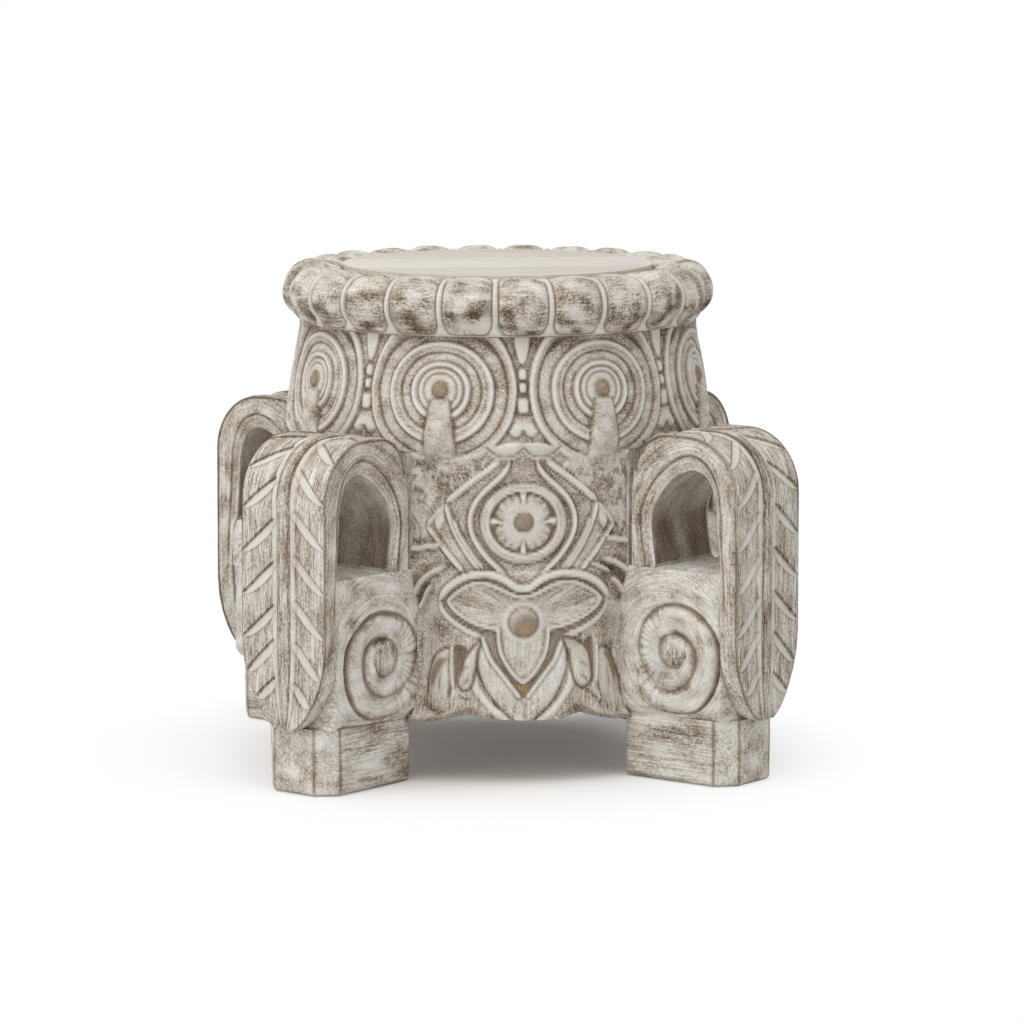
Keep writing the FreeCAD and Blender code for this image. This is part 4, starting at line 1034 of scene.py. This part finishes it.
from_joint = flank * neck_middle / apron_radius
past_stave = from_joint - stave_half
tail = np.hypot(past_stave, high - boss_up)
tail_share = ease((high - 271) / 10)
on_tail = (tail > 58.2) & (tail < 66)
blend(relief, tail_share, height=read_off(tail, ring_profile), thin=0.35 * ~on_tail, ink=0)
blend(relief, tail_share, chalk=0.7 * hump((tail - 63.2) / 1.9))
for groove in (57.4, 66.4):
    at_least(relief, ink=0.7 * hump((tail - groove) / 0.85) * tail_share)
draw_spur(relief, past_stave * np.sign(over), high)
draw_whisker(relief, from_joint, high)
# How far each point lies below its surroundings: recesses are painted darker with it, as shade, and raised
# parts are paled.
apron_dip = blurred(relief["height"], 6) - relief["height"]
relief["height"] = blurred(relief["height"], 1)
beside_leg = ease((flank - 66) / 27) * ease((high - 60) / 22) * ease((176 - high) / 26)
relief["height"] += -7.0 * beside_leg + 2.6 * np.clip(1 - (98.5 - flank) / 6, 0, 1) ** 2 * beside_leg
relief["ink"] = blurred(relief["ink"], 1)

arc_over = turn * apron_radius
on_front = radius > apron_radius - 0.2
carved = np.where(on_front, pressed(apron_board, relief["height"], arc_over, up), 0)
radius = radius + carved
limit = math.radians(45) - np.arcsin((45.2 - 6.4 * ease((65 - up) / 10)) / radius)
turn = turn * limit / (math.radians(apron_sweep) / 2)
flank = np.abs(arc_over)
scallop = np.interp(
    arc_over,
    [-100, -88, -74, -60, -52, -45, -36, -24, 0, 22, 32, 40, 48, 57, 66, 80, 100],
    [-5.6, -5.2, -3.0, 0.0, 2.6, 3.8, 2.6, 0.6, -0.6, -1.0, -0.6, 2.6, 4.4, 2.4, -1.6, -4.6, -5.4],
)
flat_up = up.copy()
up = up + scallop * ease((84 - up) / 28)
move_to(apron, np.column_stack([radius * np.cos(turn), radius * np.sin(turn), up]))


def pressed_front(board, values):
    return np.where(on_front, pressed(board, values, arc_over, flat_up), 0)


petal_share = pressed(apron_board, 1.0 * in_petal, arc_over, up) > 0.5
low_share = pressed(apron_board, 1.0 * ((high < 128) & ~around), arc_over, up)
level_grain = np.column_stack([arc_over, up, radius])
fan_rise = up - fan_up
fanned = np.column_stack([np.hypot(arc_over, fan_rise), np.arctan2(fan_rise, flank) * 48, radius])
upright = np.column_stack([up, arc_over, radius])
petal_strokes = 0.9 * ease((np.hypot(arc_over, up - trefoil_up) - 14) / 14)
note_finish(
    apron,
    np.where(petal_share[:, None], fanned, np.where((low_share > 0.5)[:, None], upright, level_grain)),
    shade_and_brown_lines=pressed_front(apron_board, np.maximum(relief["ink"], 0.4 * np.clip(apron_dip / 1.3, 0, 1))),
    worn=pressed_front(apron_board, np.clip(relief["chalk"] + 0.4 * np.clip(-apron_dip, 0, 1), 0, 1)),
    thin=pressed_front(apron_board, relief["thin"]),
    honey=pressed_front(apron_board, relief["honey"]),
    strokes=np.where(petal_share, petal_strokes, 0.12 + 0.6 * low_share),
)
apron_finish = limewash("limewashed_apron", specks=1.1, tone=0.045)
fit_round(apron, panel_turns, "apron", "apron_panel", apron_finish)

# Neck staves: eight flared staves glued into a ring between drum and rim, one ringed spiral to each.
# Carved after gluing; a smooth spur runs down from each boss, and drops and beads fill the joints between.
neck_bottom, neck_top, neck_bore = 281.0, 376.9, 142.0
neck_radius, stave_sweep, stave_columns, stave_rows = 185.0, 45.0, 172, 118
stave_turns = {number + 1: stave_sweep * (number + 0.5) for number in range(8)}

stave = curved_blank(neck_radius, neck_bore, neck_bottom, neck_top, stave_rows)
radius, turn, up = spin_round(stave, stave_sweep, stave_columns)
neck_board = drawing_board(-71, 71, 279, 379, 0.5)
over, high = neck_board
beside, lift = np.abs(over), high - boss_up
squash = 1 + 0.2 * (1 - ease((np.hypot(over, lift) - 50) / 10)) * (lift > 0)
ripple = 0.5 * np.sin(np.arctan2(lift, beside) * 3 + 1) * ease((lift + 45) / 20)
spread = np.hypot(over, lift * squash) + ripple
stipple = mottle(over.shape, 1, 31)
plain_band = ((spread > 27.3) & (spread < 34.8)) | ((spread > 47.4) & (spread < 57)) | (spread > 66.2)
relief = {
    "height": read_off(spread, ring_profile),
    "ink": np.zeros(over.shape),
    "chalk": np.where(spread < 27, 0.45, 0),
    "thin": np.where(plain_band, 0.38, np.where(spread < 27, 0.15, 0.5)),
    "honey": 0.25 * hump((spread - 35.5) / 1.4),
}
relief["height"] += np.where(plain_band, 0.14 * stipple, 0.05 * stipple)
for crest, half in ((24.2, 1.5), (44.3, 1.7), (63.2, 1.9)):
    crest_share = hump((spread - crest) / half)
    at_least(relief, chalk=0.85 * crest_share)
    relief["thin"] *= 1 - crest_share
for groove, depth in (
    (14.8, 0.6), (20.4, 0.8), (27, 0.8), (35.3, 0.85), (40.2, 0.3), (47, 0.85), (57.4, 0.85), (61.2, 0.2),
    (66.4, 0.8),
):
    at_least(relief, ink=depth * hump((spread - groove) / 0.85))
relief["thin"] += np.where(plain_band, 0.35 * mottle(over.shape, 8, 33), 0)
# Near the top the plain bands are painted darker, as shade under the rim.
relief["thin"] += 0.7 * ease((high - 360) / 12) * plain_band
boss_rim = 0.55 * ease((spread - 5.6) / 1.5)
boss_gold = np.clip(0.8 + 0.08 * stipple, 0.4, 1.0) * ease((7.6 - spread) / 1.6)
area(relief, spread < 7.2, height=bead(spread, 7.2, 3.6), honey=boss_gold, thin=0.6, chalk=0, ink=boss_rim)

from_joint = stave_half - beside
in_column = (from_joint < 8) & (spread > 65)
area(relief, in_column, height=-2.3 + 0.12 * stipple, thin=0.6, chalk=0, ink=0.1)
drop_half = np.interp(high, [354.6, 355.5, 358, 363, 369, 374, 380], [0.2, 1.8, 3.6, 5.2, 6.6, 7.0, 6.4])
ridge(relief, np.where(high > 354.6, from_joint / drop_half * 5, 99), 5.0, -0.4, 0.6, -1.5)
for middle, tall, half in ((346.5, 5.0, 3.5), (335.3, 4.2, 3.2), (320.6, 6.8, 4.9)):
    square = np.hypot((from_joint / half) ** 2, ((high - middle) / tall) ** 2) ** 0.5
    ridge(relief, square * 3.2, 3.2, -0.3, 0.45, -1.6)
lobe_gap = np.hypot(from_joint - 6.6, np.minimum(high - 300.0, 0)) - 6.0
between_rings = spread > 67
in_heart = ((lobe_gap < 0) | (high > 300)) & (high < 312) & (from_joint < 12.6) & between_rings
heart_share = ease((312 - high) / 10)
heart_edge = np.where(high > 300, np.minimum(12.6 - from_joint, spread - 67), -lobe_gap)
heart_form = -2.3 + 2.3 * ease(heart_edge / 3) * heart_share
area(relief, in_heart, height=heart_form, chalk=0.6 * heart_share, thin=0.5 - 0.4 * heart_share, ink=0)
# The dark line under the heart's two lobes is painted shade.
heart_line = 0.7 * hump(lobe_gap / 0.9) * ease((301.5 - high) / 2) * between_rings
at_least(relief, ink=heart_line)
draw_spur(relief, over, high)
draw_whisker(relief, from_joint, high)
relief["ink"] = blurred(relief["ink"], 1)
# How far each point lies below its surroundings: recesses are painted darker with it, as shade, and raised
# parts are paled.
neck_dip = blurred(relief["height"], 6) - relief["height"]
relief["height"] = blurred(relief["height"], 1)

on_front = radius > neck_radius - 0.2
arc_over = turn * neck_middle
flat_up = up
flare_at = [
    (281, 181), (284, 181.8), (290, 183), (300, 182.6), (330, 178.6), (364, 172.2), (371, 171), (377, 171),
]
carved = pressed(neck_board, relief["height"], arc_over, up)
radius = np.where(on_front, read_off(up, flare_at) + carved, radius)
move_to(stave, np.column_stack([radius * np.cos(turn), radius * np.sin(turn), up]))
# The top of the neck, under the rim, is painted in shade; faces that are not carved are darkened flatly.
shade_under_rim = 0.22 * ease((up - 366) / 10)
neck_shade_and_marks = pressed_front(neck_board, np.maximum(relief["ink"], 0.45 * np.clip(neck_dip / 1.3, 0, 1)))
note_finish(
    stave,
    np.column_stack([arc_over, up, radius]),
    shade_and_brown_lines=np.where(on_front, np.maximum(neck_shade_and_marks, shade_under_rim), 0.2),
    worn=pressed_front(neck_board, np.clip(relief["chalk"] + 0.3 * np.clip(-neck_dip, 0, 1), 0, 1)),
    thin=pressed_front(neck_board, relief["thin"]),
    honey=pressed_front(neck_board, relief["honey"]),
    strokes=0.25,
)
stave_finish = limewash("limewashed_neck", specks=1.15, tone=0.025)
fit_round(stave, stave_turns, "stave", "neck_stave", stave_finish)

# Rim: twelve segments of two gadroon lobes each, butted end to end into a ring round the seat.
# Turned as a ring, then the lobes are rounded over with a gouge; the crests are rubbed back to the wood.
lobe_pitch = 15.0
tube_middle, tube_radius, rough_middle = (162.0, 402.0), 25.0, (160.0, 402.0)

segment = new_piece(
    bpy.ops.mesh.primitive_circle_add, vertices=150, radius=0.020, fill_type="NGON",
    location=(rough_middle[0] / 1000, 0, rough_middle[1] / 1000), rotation=(math.pi / 2, 0, 0),
)
radius, turn, up = spin_round(segment, 2 * lobe_pitch, 104)
wheel = np.degrees(np.arctan2(up - rough_middle[1], radius - rough_middle[0]))
section = [
    (-180, 122, 386), (-172, 122, 377.4), (-150, 138, 377.2), (-128, 150, 377.1), (-104, 158, 377.1),
    (-90, 166, 377.1), (-80, 171.6, 377.1), (-72, 174.4, 377.6), (-64, 176.4, 379.2), (-56, 177.8, 381.4),
]
for angle in range(-48, 97, 4):
    bend = math.radians(angle)
    along_tube = (tube_radius * math.cos(bend), tube_radius * math.sin(bend))
    section.append((angle, tube_middle[0] + along_tube[0], tube_middle[1] + along_tube[1]))
section += [
    (104, 153, 426.9), (112, 146.5, 426.3), (120, 141.5, 424.8), (126, 137.6, 422.6), (131, 135.2, 421),
    (136, 134.6, 418), (146, 134.4, 395.4), (160, 122, 395.2), (180, 122, 386),
]
angles, reaches, levels = zip(*section)
crest_radius, crest_up = np.interp(wheel, angles, reaches), np.interp(wheel, angles, levels)
lobe = np.abs(((np.degrees(turn) + 2 * lobe_pitch) % lobe_pitch) / lobe_pitch * 2 - 1)
round_end = ((lobe / 0.89) ** 4 + np.abs((wheel - 26) / 101) ** 5) ** 0.25
square_end = ((lobe / 0.89) ** 6 + np.abs((wheel - 26) / 102) ** 7) ** (1 / 6)
panel = np.where(wheel > 26, round_end, square_end)
pillow = 4.8 * np.clip(panel, 0, 1) ** 2.8
fillet = 4.8 - 1.5 * ease((panel - 1.0) / 0.08)
sink = np.where(panel < 1, pillow, fillet) + 0.9 * hump((panel - 0.995) / 0.03)
sink *= ease((wheel + 84) / 26) * ease((133 - wheel) / 10)
to_middle = np.column_stack([tube_middle[0] - crest_radius, tube_middle[1] - crest_up])
to_middle /= np.maximum(np.hypot(*to_middle.T), 1)[:, None]
to_middle[:, 0] *= np.where(wheel > 100, 0.25, 1)
bumps = np.column_stack([turn * 180, crest_radius, crest_up])
sink += np.where((wheel > -110) & (wheel < 118), 0.35 * unevenness(bumps, 17, 30) * (panel < 1), 0)
sink = np.maximum(sink, 0.05)
radius = crest_radius + to_middle[:, 0] * sink
up = crest_up + to_middle[:, 1] * sink
move_to(segment, np.column_stack([radius * np.cos(turn), radius * np.sin(turn), up]))
seen = ease((wheel + 112) / 8) * ease((136 - wheel) / 6)
patch = ease((1.0 - panel) / 0.14) * (0.4 + 0.6 * ease((44 - wheel) / 50))
rim_grain = np.column_stack([turn * 187 * 0.8, wheel * 0.44, radius * 0.2])
rim_finish = limewash("limewashed_rim", specks=1.1, clouds=1.5)
line = hump((panel - 0.985) / 0.035)
fillet_worn = 0.7 * ease((panel - 1.01) / 0.05) * (0.5 + 0.5 * ease((wheel + 76) / 20))
for number in range(12):
    name = f"{number + 1:02d}"
    piece = turned_copy(segment, f"rim_lobes_{name}", 315 + lobe_pitch / 2 + number * 2 * lobe_pitch)
    uneven = np.clip(0.75 + 0.72 * unevenness(bumps, 60 + number, 17), 0, 1.7)
    rubbed = fillet_worn + 0.55 * (1 - np.clip(1.6 * patch * uneven, 0, 1))
    # The grooves round the lobes are darkened and stained; the inner face down against the seat and the
    # underside are painted darker, as shade.
    note_finish(
        piece,
        rim_grain + 1000 * grain_shift * number,
        shade_and_brown_lines=seen * np.maximum(0.5 * line, 0.7 * ease((wheel - 125) / 6)),
        worn=seen * np.clip(rubbed, 0, 1),
        thin=0.25 + 1.2 * patch * uneven + 0.4 * ease((-62 - wheel) / 14),
        honey=0.3 * line * seen,
        strokes=0.6,
    )
    fit(piece, f"rim_segment_{name}", rim_finish)
bpy.data.objects.remove(segment)

# Seat: three boards glued edge to edge into a flat round, let into the ring of lobes.
# Planed flat and limed, with the fine level grain showing through; splines in the joints keep them flush.
seat_radius, seat_top, seat_thickness = 134.0, 425.0, 30.0
board_cuts = {"front": (None, -46.1), "middle": (-45.9, 45.9), "rear": (46.1, None)}
seat_finish = limewash("limewashed_seat", specks=0.25, clouds=0.3, tone=0.22)
for number, (board, (low_cut, high_cut)) in enumerate(board_cuts.items()):
    plank = new_piece(
        bpy.ops.mesh.primitive_circle_add, vertices=160, radius=seat_radius / 1000, fill_type="NGON",
        location=(0, 0, (seat_top - seat_thickness) / 1000),
    )
    open_mesh()
    bpy.ops.mesh.extrude_region_move(TRANSFORM_OT_translate={"value": (0, 0, seat_thickness / 1000)})
    for cut, facing in ((low_cut, -1), (high_cut, 1)):
        if cut is not None:
            bpy.ops.mesh.select_all(action="SELECT")
            bpy.ops.mesh.bisect(
                plane_co=(0, cut / 1000, 0), plane_no=(0, facing, 0), use_fill=True, clear_outer=True
            )
    close_mesh()
    ease_edges(plank, 0.6, 2, 40)
    spots = places_of(plank)
    edge_gap = seat_radius - np.hypot(spots[:, 0], spots[:, 1])
    note_finish(plank, spots * (0.5, 1, 1), shade_and_brown_lines=0.4 * ease(1 - edge_gap / 1.5), worn=0.2, strokes=0.5)
    piece = turned_copy(plank, f"seat_plank_{board}", 45, number)
    bpy.data.objects.remove(plank)
    fit(piece, f"seat_board_{board}", seat_finish, 40)

# Seat fixings: two bare battens across the underside, splines in the board joints and six zinc screws.
# The battens are planed softwood; the screws go up through them into the boards.
batten_turn = math.radians(45)
for node in ("seat_batten_left", "seat_batten_right"):
    refinish(node, bare_wood(f"bare_{node}", (0.52, 0.38, 0.23), (0.33, 0.21, 0.12), (0, 0, batten_turn)))
spline_finish = bare_wood("bare_splines", (0.55, 0.42, 0.27), (0.38, 0.26, 0.15), (0, 0, -batten_turn))
refinish("seat_splines", spline_finish)
zinc, tree, skin = new_finish("zinc_screw", 0.38)
skin["Metallic"].default_value = 1.0
place = tree.nodes.new("ShaderNodeTexCoord").outputs["Object"]
cloudy = between(tree, texture(tree, place, 900, 900, 3, 0.6), 0.35, 0.65)
tree.links.new(layer_over(tree, cloudy, (0.52, 0.53, 0.54), (0.66, 0.66, 0.65)), skin["Base Color"])
refinish("seat_screws", zinc)

# Dowels: turned beech pegs, hidden in the joints between feet, scroll blocks, straps, panels and neck.
# Each group of like pegs is glued in on assembly and keeps its bare wood.
beech = bare_wood("bare_beech_dowel", (0.58, 0.43, 0.28), (0.42, 0.29, 0.17), (0, math.pi / 2, 0))
for node in ("foot_dowels", "leg_dowels", "panel_dowels", "neck_dowels"):
    refinish(node, beech)

# Studio floor: a wide pale sheet under the stool that takes its soft shadow and fades into white. To the
# camera it glows white, faintly even under the stool, which is painted light lifting that shadow; right
# under the stool its colour is warmed as painted shade.
# It is staging, not part of the stool.
floor = new_piece(
    bpy.ops.mesh.primitive_circle_add, vertices=96, radius=9.0, fill_type="NGON", location=(0, 0, -0.0004)
)
floor.name = "studio_floor"
paper, tree, skin = new_finish("pale_floor", 0.9)
skin["Specular IOR Level"].default_value = 0.1
white = (1.0, 1.0, 1.0, 1.0)
glare = wire(tree, "Emission", {"Color": white, "Strength": 1.0})["Emission"]
place = tree.nodes.new("ShaderNodeTexCoord").outputs["Object"]
far = wire(tree, "VectorMath", {0: place, 1: (-0.005, -0.042, 0.0)}, operation="DISTANCE")["Value"]
# Right under the stool the sheet is coloured warm: painted warm shade.
warm_shade_tint = layer_over(tree, between(tree, far, 0.12, 0.2), (0.93, 0.87, 0.81), (0.93, 0.93, 0.93))
tree.links.new(warm_shade_tint, skin["Base Color"])
# The glow is faint under the stool, painted light in its shadow, and full further out, where the floor is
# plain white.
fade = weigh(tree, 0.07, (between(tree, far, 0.13, 0.37), 0.93))
camera_ray = tree.nodes.new("ShaderNodeLightPath").outputs["Is Camera Ray"]
matt = tree.nodes["Principled BSDF"].outputs["BSDF"]
whitened = pair(tree, "MULTIPLY", fade, camera_ray)
blended = wire(tree, "MixShader", {"Fac": whitened, 1: matt, 2: glare})["Shader"]
tree.links.new(blended, tree.nodes["Material Output"].inputs["Surface"])
floor.data.materials.append(paper)

# Studio light: an even pale room with one broad soft lamp high in front and a weaker one beside it.
# They are staging; the camera sees plain white behind the stool.
room = bpy.data.worlds.new("pale_room")
bpy.context.scene.world = room
room.use_nodes = True
tree = room.node_tree
glow = tree.nodes["Background"]
glow.inputs["Color"].default_value = white
glow.inputs["Strength"].default_value = 0.62
backdrop = wire(tree, "Background", {"Color": white, "Strength": 1.0})["Background"]
ray = tree.nodes.new("ShaderNodeLightPath").outputs
shown = pair(tree, "MAXIMUM", ray["Is Camera Ray"], ray["Is Glossy Ray"])
shown = pair(tree, "MAXIMUM", shown, ray["Is Transmission Ray"])
sky = wire(tree, "MixShader", {"Fac": shown, 1: glow.outputs["Background"], 2: backdrop})["Shader"]
tree.links.new(sky, tree.nodes["World Output"].inputs["Surface"])


def lamp(name, place, aim, wide, tall, watts):
    bulb = bpy.data.lights.new(name, "AREA")
    bulb.shape = "RECTANGLE"
    bulb.size, bulb.size_y, bulb.energy = wide, tall, watts
    stand = bpy.data.objects.new(name, bulb)
    bpy.context.collection.objects.link(stand)
    stand.location = place
    away = [a - b for a, b in zip(aim, place)]
    level = math.hypot(away[0], away[1])
    stand.rotation_euler = (math.atan2(level, -away[2]), 0, math.atan2(-away[0], away[1]))


lamp("high_softbox", (0.25, -1.1, 2.8), (0, 0, 0.2), 2.4, 2.0, 44)
lamp("side_softbox", (-0.6, -2.4, 1.0), (0, 0, 0.22), 1.4, 1.4, 9)

# Camera: a long lens well above the seat, looking slightly down at the front apron between the front legs.
# It is staging too; the colours are shown plainly, as they are set.
bearing, height_angle, distance, aim_height = math.radians(38.2), math.radians(8.0), 4.082, 0.2067
picture_width, middle_column, focal_length, sensor_width = 1024, 497.9, 4683.6, 36.0
lens = bpy.data.cameras.new("studio_camera")
lens.sensor_width = sensor_width
lens.lens = focal_length / picture_width * sensor_width
lens.shift_x = (picture_width / 2 - middle_column) / picture_width
camera = bpy.data.objects.new("studio_camera", lens)
bpy.context.collection.objects.link(camera)
level = math.cos(height_angle)
camera.location = (
    distance * math.sin(bearing) * level,
    -distance * math.cos(bearing) * level,
    aim_height + distance * math.sin(height_angle),
)
camera.rotation_euler = (math.pi / 2 - height_angle, 0, bearing)
bpy.context.scene.camera = camera
bpy.context.scene.view_settings.view_transform = "Standard"
